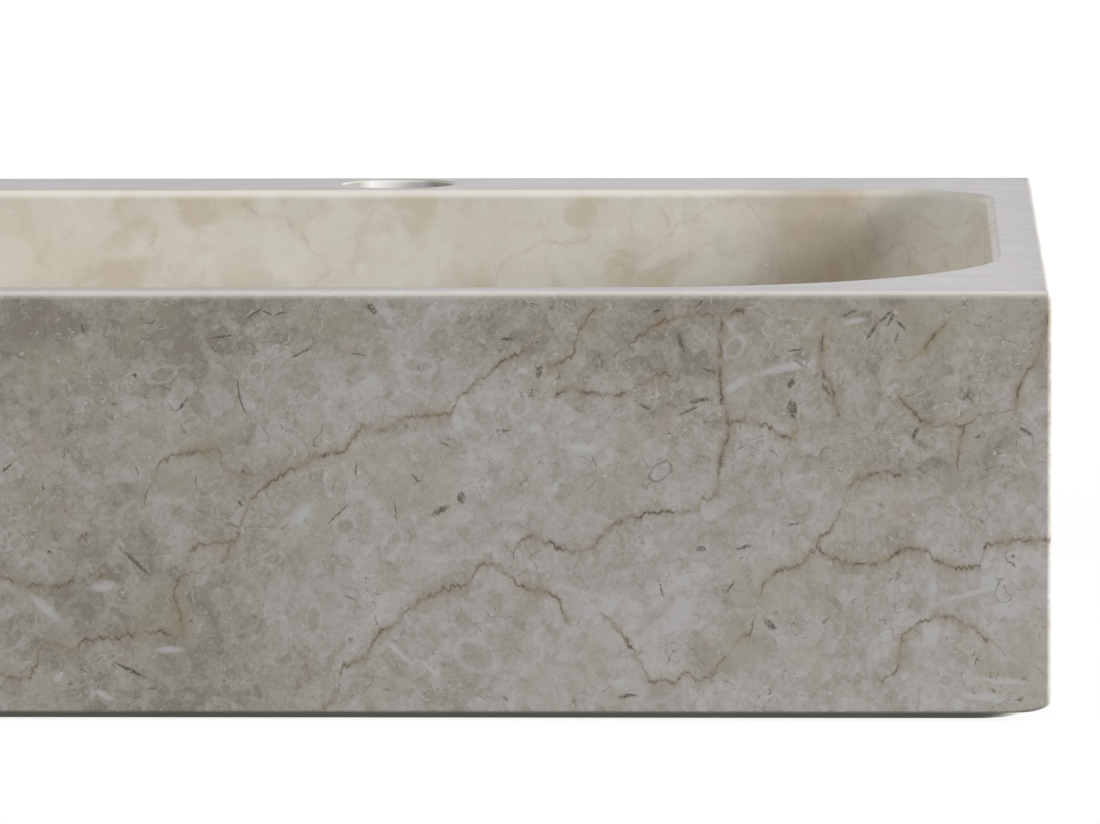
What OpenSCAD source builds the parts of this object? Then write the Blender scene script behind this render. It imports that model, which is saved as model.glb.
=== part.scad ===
// Marble vessel sink: a square block of marble carved out as a basin, with a tap hole in its rear deck,
// and the push-to-close waste that its floor holds.
// The origin is the middle of the base. X runs to the right, Y to the back and Z up.

/* [Stone block] */
// Width of the block, left to right
block_w = 400; // [360:1:600]
// Depth of the block, front to back
block_d = 400; // [360:1:520]
// Height of the block with its foot
block_h = 120; // [116:1:180]
// Rounding of the block's outer edges
arris_r = 1.4; // [0.6:0.1:3]
// Rounding of the two lower side edges, as seen from the front
low_edge_r = 5; // [2:0.5:10]
// Height of the foot that the block stands on
foot_h = 2.5; // [1:0.5:5]
// Distance that the foot is set in from the block's sides
foot_inset = 7.5; // [3:0.5:20]
// Corner radius of the foot, seen from above
foot_corner_r = 14; // [4:1:30]

/* [Basin] */
// Thickness of the two side walls at the rim
side_wall = 15; // [10:0.5:30]
// Thickness of the front wall at the rim
front_wall = 16.5; // [10:0.5:40]
// Depth of the rear deck, from the back to the basin
rear_deck = 46; // [44:0.5:90]
// Radius of the basin's two front corners, seen from above
front_corner_r = 100; // [50:1:120]
// Radius of the basin's two rear corners, seen from above
rear_corner_r = 36; // [34:1:80]
// Height of the basin's floor above the base, at the floor's edge
floor_h = 42; // [41:0.5:60]
// Radius of the cove between the walls and the floor
cove_r = 30; // [10:1:34]
// Rounding of the basin's upper edge
lip_r = 2.8; // [1:0.2:5]
// Fall of the dished floor to the waste
floor_fall = 3; // [1:0.5:5]
// Flat margin between the dish and the cove
dish_margin = 3; // [1:0.5:20]

/* [Holes in the stone] */
// Diameter of the tap hole
tap_hole_d = 35; // [30:0.5:36]
// Bevel round the tap hole's upper edge
tap_bevel = 0.8; // [0.2:0.1:1.5]
// Diameter of the hole in the basin floor
drain_hole_d = 45; // [44:0.5:50]
// Thickness of the stone under the waste's flange
drain_stone_t = 12.5; // [8:0.5:14]
// Diameter of the recess in the underside, where the nut is reached
service_d = 96; // [80:1:140]

/* [Waste] */
// Diameter of the flange
flange_d = 63; // [58:0.5:70]
// Thickness of the flange at its edge
flange_edge_t = 1.5; // [1:0.1:3]
// Thickness of the gasket under the flange
flange_gasket_t = 1; // [0.5:0.1:2]
// Outer diameter of the threaded tail
tail_d = 41.9; // [40:0.1:43]
// Wall thickness of the tail
tail_wall = 2.45; // [1.5:0.05:3]
// Height of the tail's lower end above the base
tail_lift = 2; // [0.5:0.5:4]
// Length of the thread at the tail's lower end, for the trap's nut
trap_thread_l = 8; // [6:0.5:9]
// Width of the groove that ends that thread
relief_w = 1.2; // [0.6:0.1:2]
// Depth of that groove
relief_depth = 0.9; // [0.4:0.1:1.2]
// Height of the sloping seat in the waste's mouth
seat_h = 2.7; // [2.5:0.1:3.5]
// Width of the sloping seat in the waste's mouth
seat_w = 3.5; // [2.5:0.1:5]
// Height of the bridge across the waste
bridge_h = 6; // [4:0.5:7]
// Number of arms of the bridge
bridge_arms = 3; // [3:1:6]
// Width of each arm of the bridge
bridge_arm_w = 4; // [2:0.5:6]
// Wall thickness round the bridge's threaded hole
bridge_boss_wall = 2.6; // [1.5:0.1:4]

/* [Fixing under the stone] */
// Thickness of the rubber gasket
under_gasket_t = 3; // [2:0.5:5]
// Width of the rubber gasket's flat
under_gasket_w = 8; // [6:0.5:14]
// Height of the gasket's collar inside the drain hole
under_collar_h = 3; // [1:0.5:6]
// Thickness of the slip washer
slip_washer_t = 1.2; // [0.5:0.1:2]
// Width of the slip washer
slip_washer_w = 8.5; // [6:0.5:14]
// Height of the lock nut
lock_nut_h = 8; // [6:0.5:10]
// Width of the lock nut across its flats
lock_nut_af = 54; // [50:0.5:62]
// Height of the nut's round face
lock_nut_face_h = 2; // [1:0.5:3]

/* [Cap] */
// Diameter of the cap
cap_d = 60; // [52:0.5:66]
// Height of the cap's crown above its rim
cap_crown = 3.4; // [2:0.1:6]
// Thickness of the cap's rim
cap_rim_t = 1.8; // [1.2:0.1:3]
// Gap between the closed cap and the flange
cap_gap = 1.2; // [0.6:0.1:3]
// Diameter of the rubber ring's section
seal_d = 3; // [2.2:0.1:3.2]
// Radial thickness of the skirt that carries the rubber ring
skirt_t = 2.9; // [2.2:0.1:4]
// Travel of the cap from closed to open
cap_travel = 8; // [5:0.5:8]

/* [Cartridge] */
// Outer diameter of the barrel's thread
barrel_d = 14; // [13.4:0.1:16]
// Diameter of the piston
piston_d = 10.4; // [10:0.1:10.6]
// Length of the piston
piston_len = 11.2; // [10.8:0.1:11.4]
// Wall thickness of the piston
piston_wall = 1; // [0.8:0.1:1.2]
// Diameter of the plunger's rod
rod_d = 8; // [6.8:0.1:8.4]
// Diameter of the plunger's threaded tip
tip_d = 6; // [4:0.1:6.4]
// Height of the barrel's hexagon
barrel_hex_h = 3.8; // [3:0.1:5]
// Width of the barrel's hexagon across its flats
barrel_hex_af = 17; // [16.5:0.5:20]
// Height of the barrel's nose above the hexagon
barrel_nose_h = 2; // [1:0.1:2.4]
// Thickness of the washer under the hexagon
barrel_washer_t = 0.8; // [0.5:0.1:1.5]
// Thickness of the disc that the spring stands on
spring_seat_t = 1; // [0.8:0.1:1.5]
// Height of the barrel's lip below that disc
barrel_lip_h = 0.6; // [0.4:0.1:1.2]
// Height of the jam nut
jam_nut_h = 2.1; // [1.5:0.1:3]
// Width of the jam nut across its flats
jam_nut_af = 10; // [8.5:0.5:12]
// Diameter of the spring's wire
spring_wire_d = 0.8; // [0.5:0.1:0.9]
// Number of turns of the spring
spring_turns = 6; // [4:0.5:6.5]
// Diameter of the follower wire
follower_d = 0.9; // [0.6:0.1:1]
// Depth of the cam track in the piston
track_depth = 0.6; // [0.4:0.1:0.7]
// Sideways distance of each lane of the track from its middle
track_offset = 1.6; // [1.4:0.1:1.9]

/* [Clearances] */
// Radial gap of a thread that isn't cut
thread_gap = 0.1; // [0.05:0.05:0.2]
// Radial gap of a sliding fit
slide_gap = 0.05; // [0.02:0.01:0.1]
// Gap between pieces that move past each other
move_gap = 0.3; // [0.2:0.05:0.5]
// Gap between the flange and its recess in the stone
flange_gap = 0.6; // [0.3:0.1:1.5]

/* [Hidden] */
$fn = 96;
// A cut runs this far past the faces that it opens
past = 1;

// Basin, seen from above
basin_x = block_w / 2 - side_wall;
basin_front = -block_d / 2 + front_wall;
basin_back = block_d / 2 - rear_deck;
basin_l = basin_back - basin_front;
drain_y = (basin_front + basin_back) / 2;
tap_y = block_d / 2 - rear_deck / 2;
dish_r = min(basin_x, basin_l / 2) - cove_r - dish_margin;

// Levels of the stone, from the rim down
floor_z = floor_h;
basin_depth = block_h - floor_z;
drain_z = floor_z - floor_fall;
seat_z = drain_z - flange_gasket_t - flange_edge_t;
ceiling_z = seat_z - drain_stone_t;
flange_recess_r = flange_d / 2 + flange_gap;

// Waste body
flange_z = seat_z + flange_gasket_t;
tail_r = tail_d / 2;
throat_r = tail_r - tail_wall;
seat_top_z = drain_z - 0.8;
seat_low_z = seat_top_z - seat_h;
flange_edge_r = 0.6;
tail_bevel = 0.8;

// Fixing, from the stone down
gasket_low_z = ceiling_z - under_gasket_t;
washer_low_z = gasket_low_z - slip_washer_t;
nut_low_z = washer_low_z - lock_nut_h;
ring_bore_r = tail_r + thread_gap * 2.5;

// Cap and its rubber ring, closed
cap_z = drain_z + cap_gap;
seal_r = seal_d / 2;
seal_z = seat_low_z + seat_h * 0.78;
seat_len = norm([seat_w, seat_h]);
seal_ring_r = throat_r + ((seal_z - seat_low_z) * seat_w / seat_len - seal_r - move_gap) * seat_len / seat_h;
groove_r = seal_ring_r - seal_r - thread_gap;
skirt_r = groove_r + 0.8;
skirt_low_z = seal_z - seal_r - 0.9;
boss_low_z = skirt_low_z - 2.2;
cap_boss_r = tip_d / 2 + 2.5;
tip_top_z = cap_z - 0.2;

// Cartridge, from the jam nut down
shoulder_z = boss_low_z - jam_nut_h;
nose_z = shoulder_z - move_gap;
chamber_top_z = nose_z - barrel_nose_h;
hex_low_z = chamber_top_z - barrel_hex_h;
bridge_z = hex_low_z - barrel_washer_t;
chamber_r = piston_d / 2 + slide_gap;
barrel_r = barrel_d / 2;
piston_top_z = chamber_top_z - move_gap + 0.1 - cap_travel;
piston_low_z = piston_top_z - piston_len;
disc_z = piston_low_z - piston_wall;
barrel_low_z = disc_z - spring_seat_t - barrel_lip_h;
piston_bore_r = piston_d / 2 - piston_wall;
bore_roof_z = piston_top_z - piston_wall * 2;
disc_r = chamber_r + 0.4;

// Cam track: two lanes joined above and below an island
track_w = follower_d + 0.5;
follower_z = piston_top_z - 1.9;
track_top_z = follower_z + track_w / 2;
track_low_z = follower_z - cap_travel - track_w / 2;
wire_r = follower_d / 2;
wire_stand_r = (chamber_r + barrel_r) / 2;
wire_top_z = follower_z + 4.1;
wire_arm = 2.2;

// Outline of an upright slab, w wide, from z0 to z1, with round corners below and above
module slab_outline(w, z0, z1, low_r, top_r) {
    polygon([[w / 2 - low_r, z0], [w / 2, z0 + low_r], [w / 2, z1 - top_r], [w / 2 - top_r, z1],
             [top_r - w / 2, z1], [-w / 2, z1 - top_r], [-w / 2, z0 + low_r], [low_r - w / 2, z0]]);
    for (side = [-1, 1]) {
        translate([side * (w / 2 - low_r), z0 + low_r]) circle(low_r);
        translate([side * (w / 2 - top_r), z1 - top_r]) circle(top_r);
    }
}

// Block with every edge rounded: the overlap of its plan, its front view and its side view
module stone_block() {
    intersection() {
        linear_extrude(block_h)
            slab_outline(block_w, -block_d / 2, block_d / 2, arris_r, arris_r);
        rotate([90, 0, 0]) linear_extrude(block_d + 2 * past, center = true)
            slab_outline(block_w, foot_h, block_h, low_edge_r, arris_r);
        rotate([90, 0, 90]) linear_extrude(block_w + 2 * past, center = true)
            slab_outline(block_d, foot_h, block_h, arris_r, arris_r);
    }
}

// Foot: a low plate under the block, grown into it
module stone_foot() {
    linear_extrude(foot_h + low_edge_r)
        slab_outline(block_w - 2 * foot_inset, foot_inset - block_d / 2, block_d / 2 - foot_inset,
                     foot_corner_r, foot_corner_r);
}

// Section of the basin from a point inside it out to its wall, with the cove and the rounded rim
module wall_section(reach) {
    difference() {
        union() {
            translate([0, floor_z]) square([reach, basin_depth + past]);
            translate([reach, block_h - lip_r]) square([lip_r, lip_r + past]);
        }
        translate([reach - cove_r, floor_z]) difference() {
            square(cove_r);
            translate([0, cove_r]) circle(cove_r);
        }
        translate([reach + lip_r, block_h - lip_r]) circle(lip_r);
    }
}

// Straight stretch of wall, facing +X
module wall_run(length, reach) {
    rotate([90, 0, 0]) linear_extrude(length, center = true) wall_section(reach);
}

// Quarter turn of wall, for the corner between +X and +Y
module wall_turn(radius) {
    rotate_extrude(angle = 90) wall_section(radius);
}

// Hollow of the basin: a middle, four straight walls and four corners, laid edge to edge
module basin_hollow() {
    front_c = [basin_x - front_corner_r, basin_front + front_corner_r];
    rear_c = [basin_x - rear_corner_r, basin_back - rear_corner_r];
    side_l = rear_c[1] - front_c[1];
    translate([-rear_c[0], front_c[1], floor_z]) cube([2 * rear_c[0], side_l, basin_depth + past]);
    translate([0, front_c[1], 0]) rotate(-90) wall_run(2 * front_c[0], front_corner_r);
    translate([0, rear_c[1], 0]) rotate(90) wall_run(2 * rear_c[0], rear_corner_r);
    for (side = [0, 1]) mirror([side, 0, 0]) {
        translate([rear_c[0], front_c[1] + side_l / 2, 0]) wall_run(side_l, rear_corner_r);
        translate([front_c[0], front_c[1], 0]) rotate(-90) wall_turn(front_corner_r);
        translate([rear_c[0], rear_c[1], 0]) wall_turn(rear_corner_r);
    }
}

// Dish of the floor, recess for the flange, drain hole and the recess under it
module drain_cuts() {
    translate([0, drain_y, 0]) {
        translate([0, 0, drain_z]) cylinder(h = floor_fall, r1 = flange_recess_r, r2 = dish_r);
        translate([0, 0, seat_z]) cylinder(h = drain_z - seat_z, r = flange_recess_r);
        translate([0, 0, ceiling_z]) cylinder(h = drain_stone_t, d = drain_hole_d);
        translate([0, 0, -past]) cylinder(h = ceiling_z + past, d = service_d);
    }
}

module tap_cut() {
    translate([0, tap_y, -past]) cylinder(h = block_h + 2 * past, d = tap_hole_d);
    translate([0, tap_y, block_h - tap_bevel])
        cylinder(h = tap_bevel, d1 = tap_hole_d, d2 = tap_hole_d + 2 * tap_bevel);
}

module marble_basin() {
    color([0.62, 0.59, 0.53]) difference() {
        union() {
            stone_block();
            stone_foot();
        }
        basin_hollow();
        drain_cuts();
        tap_cut();
    }
}

// Flat ring from z0 up, h thick
module ring(r_in, r_out, z0, h) {
    translate([0, drain_y, z0]) difference() {
        cylinder(h = h, r = r_out);
        translate([0, 0, -past]) cylinder(h = h + 2 * past, r = r_in);
    }
}

// Half section of the waste: tail, seat in its mouth and flange with a rounded edge
module waste_section() {
    flange_r = flange_d / 2;
    relief_z = tail_lift + trap_thread_l;
    polygon([[throat_r, tail_lift], [tail_r - tail_bevel, tail_lift], [tail_r, tail_lift + tail_bevel],
             [tail_r, relief_z], [tail_r - relief_depth, relief_z],
             [tail_r - relief_depth, relief_z + relief_w], [tail_r, relief_z + relief_w],
             [tail_r, flange_z], [flange_r - flange_edge_r, flange_z], [flange_r, flange_z + flange_edge_r],
             [flange_r, drain_z - flange_edge_r], [flange_r - flange_edge_r, drain_z],
             [throat_r + seat_w, seat_top_z], [throat_r, seat_low_z]]);
    translate([flange_r - flange_edge_r, flange_z + flange_edge_r]) circle(flange_edge_r);
    translate([flange_r - flange_edge_r, drain_z - flange_edge_r]) circle(flange_edge_r);
}

// Bridge: a threaded boss on arms that reach into the tail's wall
module bridge() {
    boss_r = barrel_r + bridge_boss_wall;
    difference() {
        translate([0, 0, bridge_z - bridge_h]) {
            cylinder(h = bridge_h, r = boss_r);
            for (arm = [0 : bridge_arms - 1]) rotate(90 + arm * 360 / bridge_arms)
                translate([0, -bridge_arm_w / 2, 0])
                    cube([throat_r + tail_wall / 2, bridge_arm_w, bridge_h - 1]);
        }
        translate([0, 0, bridge_z - bridge_h - past])
            cylinder(h = bridge_h + 2 * past, r = barrel_r + thread_gap);
    }
}

module waste_body() {
    color([0.8, 0.8, 0.8]) translate([0, drain_y, 0]) {
        rotate_extrude() waste_section();
        bridge();
    }
}

module flange_gasket() {
    color([0.2, 0.2, 0.2])
        ring(drain_hole_d / 2, flange_d / 2 - flange_edge_r, seat_z, flange_gasket_t);
}

// Rubber ring with a collar that centres the tail in the drain hole
module under_gasket() {
    color([0.13, 0.13, 0.13]) {
        ring(ring_bore_r, ring_bore_r + under_gasket_w, gasket_low_z, under_gasket_t);
        ring(ring_bore_r, drain_hole_d / 2 - move_gap, gasket_low_z, under_gasket_t + under_collar_h);
    }
}

module slip_washer() {
    color([0.9, 0.9, 0.86])
        ring(ring_bore_r, ring_bore_r + slip_washer_w, washer_low_z, slip_washer_t);
}

// Hexagon bar, af across its flats
module hexagon(h, af) {
    cylinder(h = h, r = af / 2 / cos(30), $fn = 6);
}

// Lock nut: hexagon with a round face under the washer and a bevelled mouth
module lock_nut() {
    color([0.78, 0.62, 0.34]) translate([0, drain_y, nut_low_z]) difference() {
        union() {
            intersection() {
                hexagon(lock_nut_h - lock_nut_face_h, lock_nut_af);
                cylinder(h = lock_nut_h, r1 = lock_nut_af / 2 + 1.2, r2 = lock_nut_af / 2 + 1.2 + lock_nut_h);
            }
            translate([0, 0, lock_nut_h - lock_nut_face_h - 0.5])
                cylinder(h = lock_nut_face_h + 0.5, d = lock_nut_af - 0.6);
        }
        translate([0, 0, -past]) cylinder(h = lock_nut_h + 2 * past, r = tail_r + thread_gap);
        cylinder(h = 1, r1 = tail_r + thread_gap + 1, r2 = tail_r + thread_gap);
    }
}

// Half section of the cap: low crown, rounded rim, grooved skirt and middle boss
module cap_section() {
    rim_r = cap_rim_t / 2;
    cap_r = cap_d / 2;
    crown_z = cap_z + cap_rim_t;
    dome_r = (pow(cap_r - rim_r, 2) + pow(cap_crown, 2)) / (2 * cap_crown);
    translate([0, cap_z]) square([cap_r - rim_r, cap_rim_t]);
    translate([cap_r - rim_r, cap_z + rim_r]) circle(rim_r);
    intersection() {
        translate([0, crown_z + cap_crown - dome_r]) circle(dome_r, $fn = 360);
        translate([0, crown_z - 0.01]) square([cap_r - rim_r, cap_crown + past]);
    }
    difference() {
        translate([skirt_r - skirt_t, skirt_low_z]) square([skirt_t, cap_z - skirt_low_z + 0.5]);
        translate([groove_r, seal_z - seal_r - 0.1]) square([seal_d, seal_d + 0.2]);
    }
    translate([tip_d / 2 + thread_gap, boss_low_z])
        square([cap_boss_r - tip_d / 2 - thread_gap, cap_z - boss_low_z + 0.5]);
}

module plug_cap() {
    color([0.85, 0.86, 0.88]) translate([0, drain_y, 0]) rotate_extrude() cap_section();
}

module plug_seal() {
    color([0.1, 0.1, 0.1]) translate([0, drain_y, 0])
        rotate_extrude() translate([seal_ring_r, seal_z]) circle(seal_r);
}

// Loop of the cam track, seen square on to the piston's flank
module track_outline() {
    mid_z = (track_top_z + track_low_z) / 2;
    loop_h = track_top_z - track_low_z;
    difference() {
        translate([-track_offset - track_w / 2, track_low_z]) square([2 * track_offset + track_w, loop_h]);
        translate([0, mid_z]) polygon([[0, -loop_h / 2 + track_w * 1.3], [track_offset - track_w / 2, 0],
                                       [track_offset - track_w / 2, loop_h / 2 - track_w * 1.9],
                                       [0, loop_h / 2 - track_w * 2.6],
                                       [track_w / 2 - track_offset, loop_h / 2 - track_w * 1.9],
                                       [track_w / 2 - track_offset, 0]]);
    }
}

// Plunger: hollow piston with its cam track, rod and threaded tip
module plunger() {
    track_floor_r = piston_d / 2 - track_depth;
    color([0.8, 0.65, 0.38]) translate([0, drain_y, 0]) difference() {
        union() {
            translate([0, 0, piston_low_z]) cylinder(h = piston_len, d = piston_d);
            translate([0, 0, piston_top_z - 0.5]) cylinder(h = shoulder_z - piston_top_z + 0.5, d = rod_d);
            translate([0, 0, shoulder_z - 0.5]) cylinder(h = tip_top_z - shoulder_z + 0.5, d = tip_d);
        }
        translate([0, 0, piston_low_z - past])
            cylinder(h = bore_roof_z - piston_low_z + past, r = piston_bore_r);
        difference() {
            rotate([90, 0, 0]) linear_extrude(piston_d) track_outline();
            translate([0, 0, piston_low_z]) cylinder(h = piston_len, r = track_floor_r);
        }
    }
}

module jam_nut() {
    color([0.8, 0.65, 0.38]) translate([0, drain_y, shoulder_z]) difference() {
        hexagon(jam_nut_h, jam_nut_af);
        translate([0, 0, -past]) cylinder(h = jam_nut_h + 2 * past, r = tip_d / 2 + thread_gap);
    }
}

// Barrel: threaded body, hexagon and nose, bored for the piston and slotted for the follower wire
module cartridge_barrel() {
    slot_w = follower_d + 2 * thread_gap;
    color([0.78, 0.62, 0.34]) translate([0, drain_y, 0]) difference() {
        union() {
            translate([0, 0, barrel_low_z]) cylinder(h = nose_z - barrel_low_z - 0.5, r = barrel_r);
            translate([0, 0, hex_low_z]) hexagon(barrel_hex_h, barrel_hex_af);
            translate([0, 0, chamber_top_z]) cylinder(h = barrel_nose_h, r = rod_d / 2 + 2);
        }
        translate([0, 0, barrel_low_z - past])
            cylinder(h = nose_z - barrel_low_z + 2 * past, r = rod_d / 2 + slide_gap);
        translate([0, 0, barrel_low_z - past])
            cylinder(h = chamber_top_z - barrel_low_z + past, r = chamber_r);
        translate([0, 0, disc_z - spring_seat_t]) cylinder(h = spring_seat_t, r = disc_r + thread_gap);
        translate([track_offset - slot_w / 2, -barrel_r - past, follower_z - slot_w / 2])
            cube([slot_w, barrel_r, wire_top_z - follower_z + slot_w]);
        translate([track_offset - wire_arm, -barrel_r - past, wire_top_z - slot_w / 2])
            cube([wire_arm, barrel_r - chamber_r + past + 0.2, slot_w]);
    }
}

module barrel_washer() {
    color([0.55, 0.25, 0.18])
        ring(barrel_r + thread_gap, barrel_hex_af / 2, bridge_z, barrel_washer_t);
}

// Spring: one wire carried round a helix, from the disc to the roof of the piston's bore
spring_mean_r = piston_bore_r - move_gap - spring_wire_d / 2;
spring_z0 = disc_z + spring_wire_d / 2;
spring_rise = bore_roof_z - disc_z - spring_wire_d - move_gap / 3;
spring_pitch = spring_rise / spring_turns;
turn_steps = 12;
wire_sides = 6;
spring_steps = ceil(spring_turns * turn_steps);
spring_lead = atan(spring_pitch / (2 * PI * spring_mean_r));

function spring_angle(i) = 360 * spring_turns * i / spring_steps;
function spring_centre(i) = [spring_mean_r * cos(spring_angle(i)), spring_mean_r * sin(spring_angle(i)),
                             spring_z0 + spring_rise * i / spring_steps];
// Point k of ring i: out along the radius, and up square to the wire
function spring_point(i, k) =
    let (a = spring_angle(i), b = 360 * k / wire_sides, out = spring_wire_d / 2 * cos(b),
         up = spring_wire_d / 2 * sin(b))
    spring_centre(i) + [out * cos(a) + up * sin(spring_lead) * sin(a),
                        out * sin(a) - up * sin(spring_lead) * cos(a), up * cos(spring_lead)];
function spring_least_gap() =
    min([for (i = [0 : spring_steps - turn_steps], j = [i + ceil(turn_steps * 0.75) : spring_steps])
         norm(spring_centre(i) - spring_centre(j))]) - spring_wire_d;

module cartridge_spring() {
    echo("least gap between turns of the spring, mm", spring_least_gap());
    last = spring_steps * wire_sides;
    points = [for (i = [0 : spring_steps], k = [0 : wire_sides - 1]) spring_point(i, k)];
    skin = [for (i = [0 : spring_steps - 1], k = [0 : wire_sides - 1])
            let (a = i * wire_sides + k, b = i * wire_sides + (k + 1) % wire_sides)
            each [[a, a + wire_sides, b + wire_sides], [a, b + wire_sides, b]]];
    first_end = [for (k = [1 : wire_sides - 2]) [0, k, k + 1]];
    last_end = [for (k = [1 : wire_sides - 2]) [last, last + k + 1, last + k]];
    color([0.7, 0.7, 0.72]) translate([0, drain_y, 0])
        polyhedron(points = points, faces = concat(skin, first_end, last_end));
}

module spring_seat() {
    color([0.7, 0.7, 0.72]) ring(1.5, disc_r, disc_z - spring_seat_t, spring_seat_t);
}

// Follower: wire that stands in the barrel's slot, its lower end in the track, its upper end hooked aside
module follower_wire() {
    tip_r = piston_d / 2 - track_depth + 0.15;
    color([0.7, 0.7, 0.72]) translate([track_offset, drain_y, 0]) {
        translate([0, -wire_stand_r, follower_z]) cylinder(h = wire_top_z - follower_z, r = wire_r);
        for (z = [follower_z, wire_top_z]) translate([0, -wire_stand_r, z]) sphere(wire_r);
        translate([0, -wire_stand_r, follower_z]) rotate([-90, 0, 0])
            cylinder(h = wire_stand_r - tip_r, r = wire_r);
        translate([0, -wire_stand_r, wire_top_z]) rotate([0, -90, 0])
            cylinder(h = wire_arm - 0.2, r = wire_r);
    }
}

marble_basin();
waste_body();
flange_gasket();
under_gasket();
slip_washer();
lock_nut();
plug_cap();
plug_seal();
plunger();
jam_nut();
cartridge_barrel();
barrel_washer();
cartridge_spring();
spring_seat();
follower_wire();
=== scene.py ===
import math
from functools import partial

import bmesh
import bpy
import numpy as np
from mathutils import Matrix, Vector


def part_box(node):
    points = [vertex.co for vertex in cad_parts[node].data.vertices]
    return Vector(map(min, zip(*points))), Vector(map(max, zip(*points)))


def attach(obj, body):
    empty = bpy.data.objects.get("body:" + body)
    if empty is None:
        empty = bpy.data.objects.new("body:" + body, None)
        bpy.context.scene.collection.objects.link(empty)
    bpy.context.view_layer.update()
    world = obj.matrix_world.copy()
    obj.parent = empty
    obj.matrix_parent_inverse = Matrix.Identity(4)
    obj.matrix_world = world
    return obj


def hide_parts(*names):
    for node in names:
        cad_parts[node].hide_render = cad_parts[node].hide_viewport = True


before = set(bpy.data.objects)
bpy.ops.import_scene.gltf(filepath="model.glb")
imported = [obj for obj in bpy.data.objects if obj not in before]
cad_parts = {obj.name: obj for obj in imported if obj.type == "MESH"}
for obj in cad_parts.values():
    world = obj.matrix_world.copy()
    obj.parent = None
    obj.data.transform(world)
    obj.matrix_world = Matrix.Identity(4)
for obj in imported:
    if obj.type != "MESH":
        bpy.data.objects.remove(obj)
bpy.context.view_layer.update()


# Marble basin. One sawn block of fossil limestone marble. A round-ended cutter carved the
# basin out of it, core drills made the tap hole and the drain hole, and every face and small
# edge was ground and honed by hand.
MM = 0.001
block_lo, block_hi = [np.round(np.array(corner) / MM, 3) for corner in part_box("marble_basin")]
block_x, block_front, block_back = block_hi[0], block_lo[1], block_hi[1]
rim_z, foot_z, foot_inset, foot_corner = block_hi[2], 2.5, 7.5, 14.0
arris, low_arris, low_edge_w, low_edge_h, lip = 1.3, 0.6, 9.0, 3.2, 2.8
basin_x, basin_front, basin_back = block_x - 15.0, block_front + 16.5, block_back - 46.0
front_corner, rear_corner, cove = 100.0, 36.0, 30.0
floor_z, dish_r, drain_y = 42.0, 135.75, (basin_front + basin_back) / 2
dish_low_z, flange_seat_z, stone_under_z = 39.0, 36.5, 24.0
flange_recess_r, drain_hole_r, service_r = 32.1, 22.5, 48.0
tap_y, tap_r, tap_bevel = block_back - 23.0, 17.5, 0.8
SIDE_STEPS, CORNER_STEPS = 60, 40


def corner_outline(x, front, back, r_front, r_rear):
    """Rounded rectangle seen from above, as an array of points, from the front end of its right side round
    to the left. Each side is evenly spaced points and each corner a quarter circle about its own centre."""
    centres = np.array([[x - r_rear, back - r_rear], [r_rear - x, back - r_rear],
                        [r_front - x, front + r_front], [x - r_front, front + r_front]])
    radii = np.array([r_rear, r_rear, r_front, r_front])
    turn = np.linspace(0, np.pi / 2, CORNER_STEPS + 1) + np.arange(4)[:, None] * np.pi / 2
    arcs = centres[:, None] + radii[:, None, None] * np.stack([np.cos(turn), np.sin(turn)], axis=-1)
    share = np.linspace(0, 1, SIDE_STEPS, endpoint=False)[:, None]
    starts, stops = np.roll(arcs[:, -1], 1, axis=0)[:, None], arcs[:, :1]
    sides = starts + (stops - starts) * share
    return np.concatenate([sides, arcs[:, :-1]], axis=1).reshape(-1, 2)


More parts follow.
